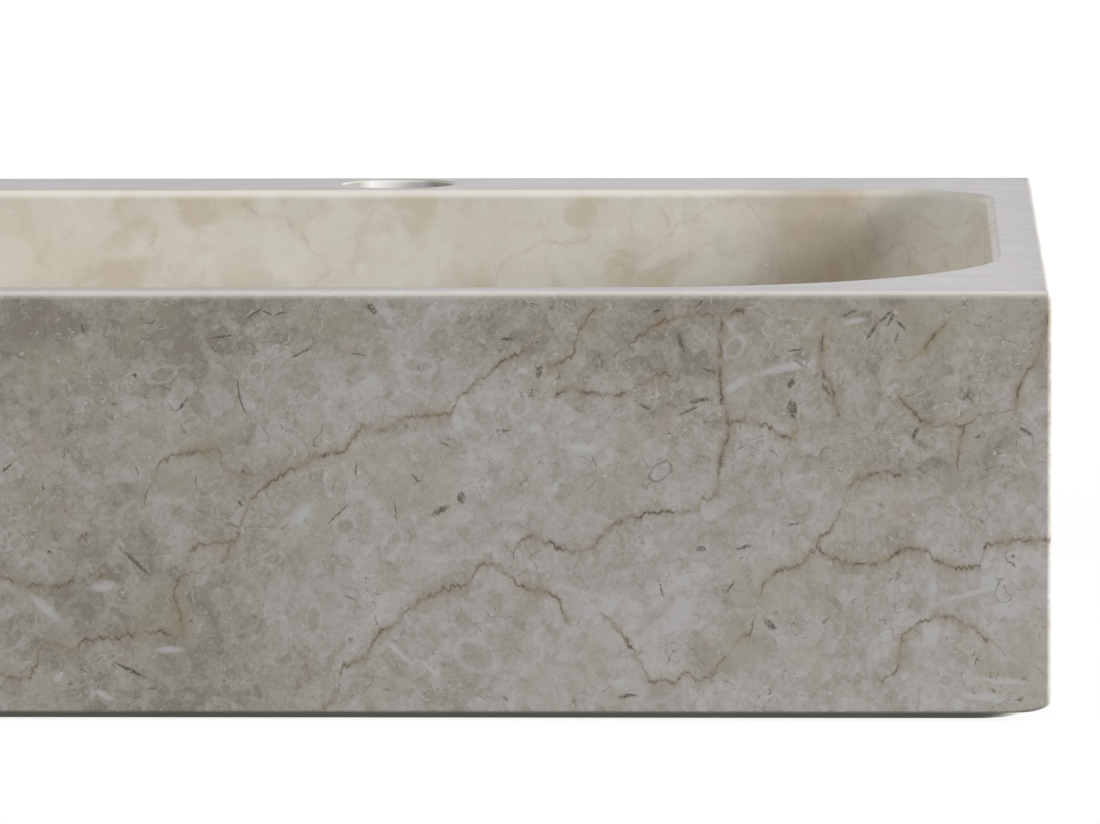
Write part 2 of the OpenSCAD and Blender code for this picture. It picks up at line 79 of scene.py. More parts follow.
def basin_skin():
    """Loops of points that run up the block's outside, over the rim, down the basin and out under it.

    A rounded edge blends a sharp outline into one drawn in by the edge's width, by 1 - cos along and
    1 - sin up, times a slow sine round the block, because the edges are eased by hand. The basin's lip and
    cove are quarter circles of its outline's inset. The dish falls by a straight line blended with a cosine,
    and from there in the loops are circles round the drain at each point's own bearing.
    """
    place = np.arange(4 * (SIDE_STEPS + CORNER_STEPS)) / (4 * (SIDE_STEPS + CORNER_STEPS)) * 2 * np.pi
    ease = 1 + 0.10 * np.sin(5 * place + 0.7) + 0.07 * np.sin(11 * place + 2.1) + 0.05 * np.sin(29 * place)
    sharp = corner_outline(block_x, block_front, block_back, arris, arris)
    top_in = corner_outline(block_x - arris, block_front + arris, block_back - arris, 0.3, 0.3)
    low_in = corner_outline(block_x - low_edge_w, block_front + low_arris, block_back - low_arris, 0.3, 0.3)
    foot = corner_outline(block_x - foot_inset, block_front + foot_inset, block_back - foot_inset,
                          foot_corner, foot_corner)
    beside = np.clip((np.abs(sharp[:, 0]) - (block_x - low_edge_w)) / low_edge_w, 0, 1)
    low_h = low_arris + (low_edge_h - low_arris) * beside

    def level(outline, height):
        return np.column_stack([outline, np.broadcast_to(height, len(outline))])

    def inner(inset):
        return corner_outline(basin_x - inset, basin_front + inset, basin_back - inset,
                              front_corner - inset, rear_corner - inset)

    quarter = np.linspace(0, np.pi / 2, 9)
    loops = [level(foot, 0.0), level(foot, foot_z)]
    loops += [level(sharp + (low_in - sharp) * (1 - np.sin(a)), foot_z + low_h * (1 - np.cos(a)))
              for a in quarter]
    loops += [level(sharp, z) for z in np.linspace(8.0, rim_z - 2.5, 8)]
    loops += [level(sharp + (top_in - sharp) * ((1 - np.cos(a)) * ease)[:, None],
                    rim_z - arris * (1 - np.sin(a)) * ease) for a in quarter]
    loops += [level(inner(-lip * (1 - np.sin(a))), rim_z - lip * (1 - np.cos(a))) for a in quarter]
    loops += [level(inner(0.0), z) for z in np.linspace(rim_z - lip, floor_z + cove, 6)[1:]]
    loops += [level(inner(cove * (1 - np.cos(a))), floor_z + cove * (1 - np.sin(a)))
              for a in np.linspace(0, np.pi / 2, 17)[1:]]
    bearing = np.arctan2(loops[-1][:, 1] - drain_y, loops[-1][:, 0])
    ray = np.column_stack([np.cos(bearing), np.sin(bearing)])
    middle = np.array([0.0, drain_y])
    for share in np.linspace(0, 1, 16)[:-1]:
        fall = 0.5 * share + 0.25 * (1 - math.cos(math.pi * share))
        loops.append(level(middle + ray * (dish_r + (flange_recess_r + 0.5 - dish_r) * share),
                           floor_z - (floor_z - dish_low_z) * fall))
    drain = [(flange_recess_r + 0.5, dish_low_z), (flange_recess_r + 0.15, dish_low_z - 0.1),
             (flange_recess_r, dish_low_z - 0.5), (flange_recess_r, flange_seat_z),
             (drain_hole_r, flange_seat_z), (drain_hole_r, stone_under_z), (service_r, stone_under_z),
             (service_r, 0.5), (service_r + 0.5, 0.0)]
    loops += [level(middle + ray * r, z) for r, z in drain]
    return np.array(loops)


def mesh_of(name, points, faces):
    """Mesh of points in millimetres and faces of point numbers."""
    mesh = bpy.data.meshes.new(name)
    mesh.from_pydata((points.reshape(-1, 3) * MM).tolist(), [], faces)
    return mesh


def bands(near, far):
    """Quads from each loop of point numbers in near to the loop at its place in far, as lists."""
    quads = np.stack([near, np.roll(near, -1, axis=1), np.roll(far, -1, axis=1), far], axis=-1)
    return quads.reshape(-1, 4).tolist()


def numbered(loops):
    """The number of each point in an array of loops (loops, points, 3)."""
    return np.arange(loops.shape[0] * loops.shape[1]).reshape(loops.shape[:2])


def closed_sweep(name, loops):
    """Mesh through a ring of loops in millimetres: each is joined to the next, and the last to the first."""
    here = numbered(loops)
    return mesh_of(name, loops, bands(here, np.roll(here, -1, axis=0)))


def turned(name, profile, steps=128, y=0.0):
    """Mesh turned on an upright axis at (0, y) from a profile of (radius, height) in millimetres,
    run upwards on the outside. Its two ends lie on the axis, and each closes as a fan of
    triangles about one point."""
    profile = np.array(profile, float)
    angle = np.linspace(0, 2 * np.pi, steps, endpoint=False)
    body = profile[1:-1]
    rings = np.stack([body[:, :1] * np.cos(angle), y + body[:, :1] * np.sin(angle),
                      np.repeat(body[:, 1:], steps, axis=1)], axis=-1)
    here = numbered(rings)
    first, last = here[0], here[-1]
    fans = np.concatenate([np.stack([np.full(steps, here.size), np.roll(first, -1), first], axis=-1),
                           np.stack([np.full(steps, here.size + 1), last, np.roll(last, -1)], axis=-1)])
    points = np.concatenate([rings.reshape(-1, 3), [[0, y, profile[0, 1]], [0, y, profile[-1, 1]]]])
    return mesh_of(name, points, bands(here[:-1], here[1:]) + fans.tolist())


def shown(name, mesh, sharp_deg=35):
    """Object for a mesh, at the origin, smooth but for edges sharper than sharp_deg. Points within a
    thousandth of a millimetre of each other are merged, so that no face is left without an area."""
    build = bmesh.new()
    build.from_mesh(mesh)
    bmesh.ops.remove_doubles(build, verts=build.verts, dist=0.001 * MM)
    build.to_mesh(mesh)
    build.free()
    mesh.shade_smooth()
    mesh.set_sharp_from_angle(angle=math.radians(sharp_deg))
    piece = bpy.data.objects.new(name, mesh)
    bpy.context.scene.collection.objects.link(piece)
    return piece


def finished(piece, *steps):
    """Applies modifiers, given as (kind, settings), and keeps the result as the piece's own mesh."""
    for kind, settings in steps:
        step = piece.modifiers.new(kind, kind)
        for key, value in settings.items():
            setattr(step, key, value)
    seen = piece.evaluated_get(bpy.context.evaluated_depsgraph_get())
    mesh = bpy.data.meshes.new_from_object(seen)
    piece.modifiers.clear()
    piece.data = mesh
    return piece


basin = shown("basin_stone", closed_sweep("basin_stone", basin_skin()))
core_drill = shown("core_drill", turned("core_drill", [
    (0, -5), (tap_r + 0.5, -5), (tap_r + 0.5, 0), (tap_r, 0.5), (tap_r, rim_z - tap_bevel),
    (tap_r + tap_bevel, rim_z), (tap_r + tap_bevel, rim_z + 5), (0, rim_z + 5)], y=tap_y))
finished(basin, ("BOOLEAN", {"operation": "DIFFERENCE", "object": core_drill, "solver": "EXACT"}))
basin.data.set_sharp_from_angle(angle=math.radians(35))
finished(basin, ("WEIGHTED_NORMAL", {"weight": 60, "keep_sharp": True}))
bpy.data.objects.remove(core_drill)


def linear(hex_colour):
    """sRGB hex colour, such as "B9B0A0", as linear RGBA."""
    srgb = [int(hex_colour[i:i + 2], 16) / 255 for i in (0, 2, 4)]
    return [c / 12.92 if c <= 0.04045 else ((c + 0.055) / 1.055) ** 2.4 for c in srgb] + [1.0]


def add_node(owner, kind, inputs=(), **settings):
    """Adds a shader node. kind may end in an operation, as "Math ADD" does. inputs gives the inputs values
    or links: a list in the node's own order, or a dictionary by name or number. settings are the node's
    own, and stops are a colour ramp's places and hex colours."""
    tree = owner.node_tree
    kind, *operation = kind.split()
    node = tree.nodes.new("ShaderNode" + kind)
    if operation:
        node.operation = operation[0]
    for i, (spot, shade) in enumerate(settings.pop("stops", ())):
        knot = node.color_ramp.elements[i] if i < 2 else node.color_ramp.elements.new(spot)
        knot.position, knot.color = spot, linear(shade)
    for key, value in settings.items():
        setattr(node, key, value)
    for key, value in inputs.items() if isinstance(inputs, dict) else enumerate(inputs):
        if isinstance(value, bpy.types.Node):
            value = value.outputs[0]
        if isinstance(value, bpy.types.NodeSocket):
            tree.links.new(value, node.inputs[key])
        else:
            node.inputs[key].default_value = value
    return node


def new_material(name):
    """Material with an empty node tree, and add_node bound to it."""
    material = bpy.data.materials.new(name)
    material.use_nodes = True
    material.node_tree.nodes.clear()
    return material, partial(add_node, material)


# Veins of the front face, in millimetres from the middle of the base: each is read off as points across
# ("x") or up ("z"), and is carried on into the block as a wavy sheet.
front_veins = [
    ("x", [(-39, 47.5), (-36, 49), (-27, 50.4), (-24.7, 56), (-21.4, 62.6), (-17.6, 66), (-13.9, 68.8),
           (-6, 73), (-4.2, 73.9), (3.9, 75.8), (9.4, 82.2), (13.3, 81.4), (22.5, 85.3), (28.8, 85.8),
           (33.6, 86.2), (35.5, 90), (41.3, 95.1), (43.8, 97), (48.3, 100.9), (55.2, 103.7), (57.1, 108.8)]),
    ("z", [(49.1, -28), (44.5, -30), (43.5, -34.5), (41.8, -38), (40.5, -41.5), (36.2, -43.3), (31, -42.5),
           (25, -41.4), (23.5, -43.3)]),
    ("x", [(-92, 13.1), (-84.9, 12), (-79, 22.6), (-72, 20), (-68.5, 22.4), (-58.8, 23.6), (-49.9, 25),
           (-43.3, 23.6)]),
    ("x", [(-52.4, 59.6), (-49.9, 65.8), (-45.2, 73.6), (-35.5, 75.6), (-31, 75.8), (-29.4, 70.5),
           (-25.8, 69.1), (-21.9, 69.7)]),
    ("x", [(-92, 40.6), (-86, 38.6), (-79, 37.3), (-71.8, 39.2), (-65.2, 40), (-63.2, 43.7), (-68.5, 52)]),
    ("x", [(-2.2, 3.5), (1.7, 8.8), (3.1, 14.7), (10.3, 18.6), (11.4, 22.5), (18, 27.5), (23, 32.3),
           (29.7, 36.1), (38.5, 39.2), (41.9, 43.7), (45.5, 43.7), (50.2, 39.8), (54.1, 37.3), (60.7, 35.9),
           (65.2, 28.6)]),
    ("x", [(50.2, 43.1), (52.1, 49), (55.2, 51.5), (60.7, 50.1), (66.6, 47.6), (70.4, 47.8), (77.4, 54),
           (84, 57.3), (92.9, 58.7), (101.5, 59.3), (103.4, 61.8), (107.3, 63.2)]),
    ("z", [(63.2, 107.3), (70.5, 108), (78.3, 109.8), (82.8, 110.4), (92, 108.6), (108, 108.4),
           (112, 108.6)]),
    ("x", [(110.4, 82.8), (115.1, 84.2), (120.1, 83), (126.7, 79.4), (129.8, 81.4), (130.2, 85.3)]),
    ("x", [(88.5, 11.3), (97.1, 11.9), (98.2, 13.8), (102.6, 11.9), (108.4, 16.6), (113.1, 22.5),
           (117, 26.4), (119, 35.3), (122.9, 41.2), (130.6, 44), (135.6, 50.4), (141.4, 57.9), (143.4, 64.6),
           (147.3, 68), (153.1, 69.7), (160, 68)]),
    ("x", [(135.6, 50.4), (141.4, 45.1), (148.4, 44), (154.2, 44.5), (158.1, 47.6), (164.7, 47.9),
           (167.8, 45.1), (175.5, 43.1), (180, 43.1), (181.4, 49), (190, 50.4), (199.4, 50.9)]),
    ("z", [(114.6, 199.4), (108.8, 198), (101, 196.1), (94, 191.1), (88.1, 190), (86.2, 184.1),
           (82.8, 176.4), (74.5, 174.2), (69.7, 174.2)]),
    ("x", [(158.1, 89.8), (162, 86.7), (164.7, 83.3), (170.6, 82.8), (176.4, 82.8)]),
    ("z", [(110.7, 170.6), (106.3, 166.7), (101.8, 162.8), (101, 158.1)]),
    ("x", [(62.7, 90), (65.4, 92.6), (73.5, 91.7), (81.2, 91.7), (86, 94), (89, 95.9), (94.8, 97)]),
    ("x", [(60.7, 99.8), (66.6, 101.8), (69.6, 109.6), (73.5, 114.6)]),
    ("x", [(79.3, 101.8), (87.1, 108.2), (97.6, 113.2), (109.3, 113.5), (115.1, 114.6)]),
    ("x", [(163.9, 28.3), (172.5, 28.9), (177.5, 26.4), (182.2, 22.5)]),
    ("z", [(28.3, 163.9), (21.6, 158.3), (16.6, 158.1), (11.9, 153.1)]),
    ("x", [(75.4, 30.3), (80.1, 25.5), (86, 16.6), (88.5, 11.3)]),
    ("z", [(112, 137), (98, 136.7), (94, 138.7), (86, 141)]),
]


def vein_distance(add, across, up, veins):
    """Distance in millimetres to the nearest vein: how far a point is off the vein's line,
    read at its place along the vein, plus how far it is past the vein's ends. A vein runs
    along x or z by its own first word."""
    nearest = None
    for way, points in veins:
        points = sorted(points)
        start, stop = points[0][0], points[-1][0]
        low, high = min(p[1] for p in points) - 1, max(p[1] for p in points) + 1
        place, height = (across, up) if way == "x" else (up, across)
        share = add("MapRange", [place, start, stop, 0.0, 1.0])
        line = add("FloatCurve", [1.0, share])
        curve = line.mapping.curves[0]
        while len(curve.points) < len(points):
            curve.points.new(0.5, 0.5)
        spots = [((a - start) / (stop - start), (b - low) / (high - low)) for a, b in points]
        for knot, spot in zip(curve.points, spots):
            knot.location, knot.handle_type = spot, "AUTO"
        line.mapping.use_clip = False
        line.mapping.update()
        line = add("Math MULTIPLY_ADD", [line, high - low, low])
        off = add("Math SUBTRACT", [height, line])
        off = add("Math ABSOLUTE", [off])
        past = add("Math SUBTRACT", [place, (start + stop) / 2])
        past = add("Math ABSOLUTE", [past])
        past = add("Math SUBTRACT", [past, (stop - start) / 2])
        past = add("Math MAXIMUM", [past, 0.0])
        off = add("Math ADD", [off, past])
        nearest = off if nearest is None else add("Math MINIMUM", [nearest, off])
    return nearest


# Marks of the front face, read off as the veins are: across, up, half length,
# half width, and degrees of tilt.
front_dashes = [
    (-54.5, 44.7, 5.9, 0.55, -43), (-56.2, 14.3, 5.1, 0.6, -27), (2.1, 58, 4.3, 0.3, 43),
    (114.8, 48.8, 2.2, 0.5, 17), (82.5, 7, 2.9, 0.7, 5), (97.5, 106, 2.8, 0.7, -75),
    (103, 89.7, 3.2, 0.75, 8), (99.5, 86.8, 3.1, 0.35, 24), (87.5, 88, 1.7, 0.5, -27),
    (127.9, 94.5, 1.6, 1.1, 60), (128.4, 87.2, 2.9, 1.4, 100), (137.7, 92.9, 2.7, 0.5, -58),
    (162.5, 80.5, 2.1, 0.6, 65), (179.8, 79.7, 1.0, 0.5, 30), (193, 81, 2.2, 0.6, -32),
    (-41, 88.5, 3.0, 0.45, 45), (-8, 103, 3.3, 0.35, 27), (11.9, 115.2, 2.0, 1.1, -45),
    (49.4, 106.8, 2.0, 0.5, 0), (58.2, 97.6, 2.1, 0.8, 75), (-54.2, 96.8, 0.8, 0.6, 0),
    (-79.9, 65.6, 1.2, 0.4, 100), (-53.7, 70, 1.7, 0.22, -75), (-37.2, 66.6, 2.0, 0.25, -80),
    (-89.9, 71, 2.0, 0.4, 40), (-78.3, 47.3, 0.9, 0.75, 0), (-49.9, 9.2, 1.6, 0.4, 10),
    (-25.2, 61, 1.4, 0.4, -50), (30.5, 58.9, 2.8, 1.0, 30), (36.5, 62.7, 1.8, 1.2, 80),
    (18.1, 58.6, 3.5, 0.22, -85), (48.5, 6.2, 1.2, 0.4, -45), (102.9, 48.2, 1.4, 0.9, 0),
    (111.2, 38, 2.0, 0.4, 60), (91.8, 37, 3.0, 0.3, -75), (128.6, 55.2, 1.8, 0.3, 15),
    (122, 27.2, 2.2, 0.9, -40), (189.5, 46.2, 0.7, 0.6, 0), (150.5, 109, 3.2, 0.5, 55),
    (154, 113, 2.6, 0.5, 40), (155.8, 112.5, 2.6, 0.4, 60), (158.4, 110.5, 2.2, 0.4, -50),
    (157.2, 107.3, 1.8, 0.4, 75), (144.2, 114, 2.4, 0.35, 25), (102.5, 116.3, 1.8, 0.35, 50),
    (129.2, 103.7, 2.6, 0.3, 8), (105.3, 98, 2.4, 0.3, -20), (90.7, 114.4, 1.4, 0.45, 30),
    (-20.5, 114.2, 2.6, 0.3, 35), (-17, 114, 2.2, 0.3, -30), (-13.5, 113.9, 1.8, 0.3, 10),
    (-29.5, 107.6, 3.6, 0.3, 8), (-25.2, 92.5, 3.0, 0.3, -80), (-24.2, 88.3, 3.4, 0.3, -65),
    (-68.5, 110, 1.6, 0.3, -70), (8.1, 102.5, 2.0, 0.3, -10), (23.6, 68, 1.6, 0.35, -50),
    (7.2, 70.5, 1.8, 0.25, 85)]
front_rings = [
    (-4.8, 28.5, 4.6, 2.0, 85), (17.2, 49.7, 4.0, 2.1, 60), (40.5, 18.3, 6.2, 4.0, -25),
    (-16.2, 45.6, 3.0, 1.8, 20), (-20.6, 98.7, 2.3, 1.8, 60), (52.5, 88.1, 3.3, 2.5, 70),
    (171.1, 11.6, 2.1, 1.9, 0), (159.5, 6, 1.5, 1.3, 0), (185.5, 4.9, 1.2, 1.0, 0),
    (143.9, 11.3, 1.2, 1.1, 0), (-87.6, 50, 2.2, 1.8, 30), (123.4, 30.4, 1.6, 1.3, 0),
    (4, 54.6, 2.9, 2.4, 20), (-46.5, 97, 4.0, 2.2, 20), (112.2, 104.5, 3.4, 2.2, 50),
    (24.5, 99.5, 4.6, 2.2, -5)]
front_milk = [
    (112.4, 93.9, 5.2, 1.3, 34), (126.5, 98.8, 10.5, 1.3, 12), (69.6, 76.5, 5.5, 1.6, -5),
    (146, 111.9, 3.3, 0.9, 8), (-63.5, 37.8, 4.0, 1.6, 5), (-80, 32, 7.0, 1.6, -40), (-45, 20, 4.0, 1.0, 0),
    (-64, 7.5, 4.5, 1.1, -25), (19.1, 19, 6.0, 1.0, -42), (27.3, 15.2, 3.5, 1.0, -40),
    (-76, 12.6, 2.5, 1.1, 60), (50, 4.4, 1.5, 1.2, 0), (167.2, 37.3, 2.4, 1.6, 90), (178, 36, 8.0, 0.9, 15),
    (182, 6.9, 9.0, 1.4, -5), (186.8, 11.4, 8.0, 0.9, -5), (174.2, 5, 2.6, 2.3, 0),
    (35.5, 83.7, 2.6, 1.7, -70), (53.8, 97.9, 1.6, 0.9, 0), (56.9, 81.8, 2.6, 1.3, 10),
    (20.4, 95.4, 2.4, 0.3, -50), (80, 11, 3.0, 1.0, 15), (-8, 57.6, 4.5, 2.6, 40), (63, 66, 3.0, 1.0, 60)]


def mark_reach(add, place, marks):
    """How far a point is from the nearest of some oval marks: 0 in a mark's middle and 1 on its outline.
    Each mark is an oval body that reaches 6 mm into the block."""
    nearest = None
    for x, z, length, width, tilt in marks:
        turned_place = add("VectorRotate", {0: place, "Center": (x, block_front, z),
                                            "Angle": math.radians(tilt)}, rotation_type="Y_AXIS")
        scale = (1 / length, 1 / 6, 1 / width)
        shift = (-x / length, -block_front / 6, -z / width)
        reach = add("VectorMath MULTIPLY_ADD", [turned_place, scale, shift])
        reach = add("VectorMath LENGTH", [reach]).outputs["Value"]
        nearest = reach if nearest is None else add("Math MINIMUM", [nearest, reach])
    return nearest


def fossil_limestone():
    """Honed limestone marble: soft clots of grey and beige, translucent shells and shards cut
    through by the saw, dark hairs and dashes, white calcite, and thin toothed ochre-brown seams with
    soft stains. It is a ground colour and a list of layers, each some masks, which are multiplied,
    and the colour they lay over."""
    stone, add = new_material("honed_fossil_limestone")
    place = add("TexCoord").outputs["Object"]
    mm = add("VectorMath SCALE", {0: place, "Scale": 1 / MM})
    axis = add("SeparateXYZ", [mm]).outputs
    soft_step = {"interpolation_type": "SMOOTHSTEP"}
    layers = []

    # How far out a point is: 1 on the block's four sides, 0.985 and less in the basin and on the deck.
    out = add("VectorMath MULTIPLY", [mm, (1 / block_x, 1 / block_x, 0)])
    out = add("SeparateXYZ", [add("VectorMath ABSOLUTE", [out])])
    out = add("Math MAXIMUM", [out.outputs["X"], out.outputs["Y"]])
    outer = add("MapRange", [out, 0.955, 0.985, 0.15, 1.0])
    within = add("MapRange", [out, 0.985, 0.94, 0.0, 0.76])

    # Slow sway of 40 mm waves carries each pattern through the block, and fine ones fray its edges.
    sway, fray, curl = [
        add("VectorMath SUBTRACT", [add("TexNoise", {
            "Vector": mm, "Scale": 1 / size, "Detail": detail, "Roughness": rough}).outputs["Color"],
            (0.5, 0.5, 0.5)])
        for size, detail, rough in ((40, 2.0, 0.5), (2.6, 4.0, 0.7), (9, 3.0, 0.5))]

    def moved(start, wave, reach):
        """A place moved by a wave of noise times a reach in millimetres."""
        return add("VectorMath ADD", [start, add("VectorMath SCALE", {0: wave, "Scale": reach})])

    drifted, rubbed = moved(mm, sway, 16.0), moved(mm, fray, 1.6)
    curled, shelly = moved(drifted, curl, 9.0), moved(rubbed, curl, 3.5)

    # Ramps along an axis: the two places in millimetres, and the mask's values there.
    ramps = {}
    for name, way, low, high, start, stop in (
            ("left", "X", 130, -40, -0.04, -0.42), ("far_left", "X", -30, -95, 0, -0.04),
            ("front", "Y", block_front + 1.5, block_front + 8, 1, 0),
            ("behind", "Y", block_front + 0.5, block_front + 8, 9, 0),
            ("top", "Z", rim_z - 0.4, rim_z - 0.03, 0, 0.7), ("deck_left", "X", 20, -30, 0, 0.32),
            ("front_strip", "Y", block_front + 3, basin_front - 4, 0, 0.8), ("lip_shade_fade", "X", 0, 165, 1, 0),
            ("near_top", "Z", rim_z - 1.2, rim_z - 0.4, 0, 1),
            ("front_lip", "Y", basin_front, basin_front + 2, 1, 0),
            ("started", "X", -135, -95, 0, 1), ("lip", "Z", rim_z - lip - 0.5, rim_z - 1.5, 0, 0.9),
            ("under_top", "Z", rim_z - 0.5, rim_z - 0.1, 1, 0),
            ("back_lip", "Y", basin_back - 14, basin_back - 2, 0, 1),
            ("lit", "X", 70, 140, 1, 0), ("arris", "Z", rim_z - 2.4, rim_z - 1.0, 0, 1),
            ("foot", "Z", foot_z - 0.1, foot_z - 0.4, 0, 0.85)):
        ramps[name] = add("MapRange", [axis[way], low, high, start, stop])

    # Clouds: where the noise is read, its size in millimetres and its detail, and a ramp over its values.
    clouds = {}
    for name, where, size, detail, low, high, start, stop in (
            ("crowded", drifted, 55, 2.0, 0.42, 0.60, 0.25, 1.25),
            ("broken", mm, 2.2, 2.0, 0.40, 0.58, 0.15, 1.0),
            ("crowd", curled, 22, 2.0, 0.40, 0.58, 0.15, 1.0), ("grain", mm, 0.8, 2.0, 0.36, 0.56, 0.3, 1.0),
            ("shut", mm, 45, 2.0, 0.46, 0.52, 6.0, 0.0), ("patch", drifted, 11, 3.0, 0.36, 0.62, 0.0, 0.75),
            ("swell", mm, 9, 2.0, 0.3, 0.7, 0.6, 1.6), ("haze", mm, 6, 3.0, 0.3, 0.7, 0.52, 0.60)):
        noise = add("TexNoise", {"Vector": where, "Scale": 1 / size, "Detail": detail})
        clouds[name] = add("MapRange", [noise, low, high, start, stop])

    # Ground: 85 mm beds, clouds of 17 and 5 mm, a grain of 1.4 mm and rounded clots of 13, 6
    # and 2.6 mm, added up to one tone that runs from a warm dark to a neutral pale. The front face
    # is darker towards its top and its left, partly the stone's own tone and partly painted shade.
    beds = add("TexNoise", {"Vector": drifted, "Scale": 1 / 85, "Detail": 1.0})
    tone = add("MapRange", [beds, 0.3, 0.7, 0.23, 0.79])
    for size, detail, spread in ((17.0, 2.0, 0.10), (5.0, 2.0, 0.11), (1.4, 3.0, 0.15)):
        cloud = add("TexNoise", {"Vector": drifted, "Scale": 1 / size, "Detail": detail, "Distortion": 0.4})
        cloud = add("MapRange", [cloud, 0.3, 0.7, -spread, spread])
        tone = add("Math ADD", [tone, cloud])

    def clot_luck(where, size, smoothness):
        """A chance value from 0 to 1 for each rounded clot of a size in millimetres."""
        clot = add("TexVoronoi", {"Vector": where, "Scale": 1 / size, "Smoothness": smoothness},
                   feature="SMOOTH_F1")
        return add("SeparateColor", [clot.outputs["Color"]])

    for where, size, smoothness, spread in ((curled, 13.0, 0.12, 0.09), (shelly, 6.0, 0.05, 0.15),
                                            (shelly, 2.6, 0.05, 0.13)):
        clot = add("MapRange", [clot_luck(where, size, smoothness), 0.0, 1.0, -spread, spread])
        tone = add("Math ADD", [tone, clot])
    # Painted shade, partly the stone's own tone: the front face darkens towards its top and its left.
    darker = add("MapRange", [axis["Z"], 80.0, 114.0], **soft_step)
    left = add("Math MULTIPLY_ADD", [darker, ramps["left"], ramps["far_left"]])
    tone = add("Math MULTIPLY_ADD", [ramps["front"], left, tone])
    ground = add("ValToRGB", [tone], stops=[(0.0, "9D9589"), (0.26, "B4ADA2"), (0.5, "C4BEB6"),
                                            (0.72, "CFCBC6"), (1.0, "DCD9D8")])

    def tinted(shift, size, start, width, share):
        """Mask of the soft patches where shifted noise of a size in millimetres is over a start."""
        tint = add("VectorMath ADD", [curled, shift])
        tint = add("TexNoise", {"Vector": tint, "Scale": 1 / size, "Detail": 3.0})
        return add("MapRange", [tint, start, start + width, 0.0, share], **soft_step)

    # Tints: olive and rose patches, a basin painted paler as painted light, with brown smudges and clots,
    # and a brown bed at its right, which is partly a stain and partly painted shadow.
    for size, start, share, shade in ((24.0, 0.50, 0.42, "C0BCA6"), (17.0, 0.56, 0.22, "C6B6A8")):
        layers.append(([tinted((size * 3, size, -size), size, start, 0.14, share)], shade))
    # Painted light: the basin is painted paler for the light that its lit floor and walls throw on each other.
    layers.append(([within], "E3DFD4"))
    for size, start, share, shade in ((26.0, 0.54, 0.6, "C0AD94"), (13.0, 0.56, 0.45, "C7B59D"),
                                      (19.0, 0.52, 0.4, "CCCBB6")):
        layers.append(([tinted((-size, size * 2, size), size, start, 0.13, share), within], shade))
    # Painted shadow, partly a stain: the brown bed darkens the rear wall where the right wall's shadow falls.
    bed_x = add("SeparateXYZ", [curled]).outputs["X"]
    brown = add("MapRange", [bed_x, 104.0, 124.0, 0.0, 0.56], **soft_step)
    faded = add("MapRange", [bed_x, 140.0, 160.0, 1.0, 0.0])
    layers.append(([brown, faded, within], "A48E74"))
    for size, start, share, shade in ((15.0, 0.5, 0.38, "BAAC95"), (9.0, 0.4, 0.46, "EAE7DE")):
        clot = add("VectorMath ADD", [curled, (size * 5, -size, size)])
        clot = add("MapRange", [clot_luck(clot, size, 0.35), start, 0.9, 0.0, share])
        layers.append(([clot, clouds["crowded"], within], shade))

    # Shells: shells, shards and reed-like tubes of 2 to 9 mm, sawn through as
    # soft, broken pale rings and bars.
    for squash, turn, size, thick, rarity, shade in (
            ((1.0, 0.75, 0.55), 0.5, 9.0, 0.7, 0.66, "D8D6D2"),
            ((0.5, 0.8, 1.0), 0.3, 12.0, 0.8, 0.62, "D8D6D2"),
            ((0.30, 0.6, 1.0), 1.1, 8.0, 0.45, 0.55, "D4D2CD"),
            ((1.0, 0.8, 0.5), 0.2, 4.5, 0.35, 0.5, "DAD8D4")):
        bent = add("VectorRotate", {0: shelly, "Angle": turn}, rotation_type="Y_AXIS")
        bent = add("VectorMath MULTIPLY", [bent, squash])
        cell = add("TexVoronoi", {"Vector": bent, "Scale": 1 / size, "Randomness": 0.85})
        luck = add("SeparateColor", [cell.outputs["Color"]])
        reach = add("Math MULTIPLY", [cell.outputs["Distance"], size])
        wall = add("MapRange", {0: luck.outputs[0], 3: 0.3, 4: size * 0.22})
        ring = add("Math SUBTRACT", [reach, wall])
        kept = add("MapRange", [luck.outputs[1], rarity, rarity + 0.25, 0.0, 0.6])
        kept = add("Math MULTIPLY", [kept, outer])
        core = add("MapRange", [ring, thick, -thick, 0.0, 0.45], **soft_step)
        layers.append(([core, kept], "AFA999"))
        ring = add("Math ABSOLUTE", [ring])
        ring = add("MapRange", [ring, thick, 0.0], **soft_step)
        ring = add("Math MULTIPLY", [ring, clouds["broken"]])
        layers.append(([ring, kept], shade))

    def outline_of(reach):
        """Distance from the outline of oval marks, in shares of their size."""
        return add("Math ABSOLUTE", [add("Math SUBTRACT", [reach, 1.0])])

    reach = mark_reach(add, rubbed, front_rings)
    layers.append(([add("MapRange", [reach, 1.0, 0.6, 0.0, 0.35])], "AFA999"))
    ring = add("MapRange", [outline_of(reach), 0.3, 0.05, 0.0, 0.4], **soft_step)
    layers.append(([ring], "DDDBD8"))
    reach = mark_reach(add, rubbed, [(91.8, 69.9, 3.4, 2.2, 38)])
    layers.append(([add("MapRange", [outline_of(reach), 0.16, 0.04, 0.0, 0.6])], "7B766B"))
    reach = mark_reach(add, rubbed, front_milk)
    layers.append(([add("MapRange", [reach, 1.25, 0.35, 0.0, 0.7], **soft_step)], "E2E2E3"))

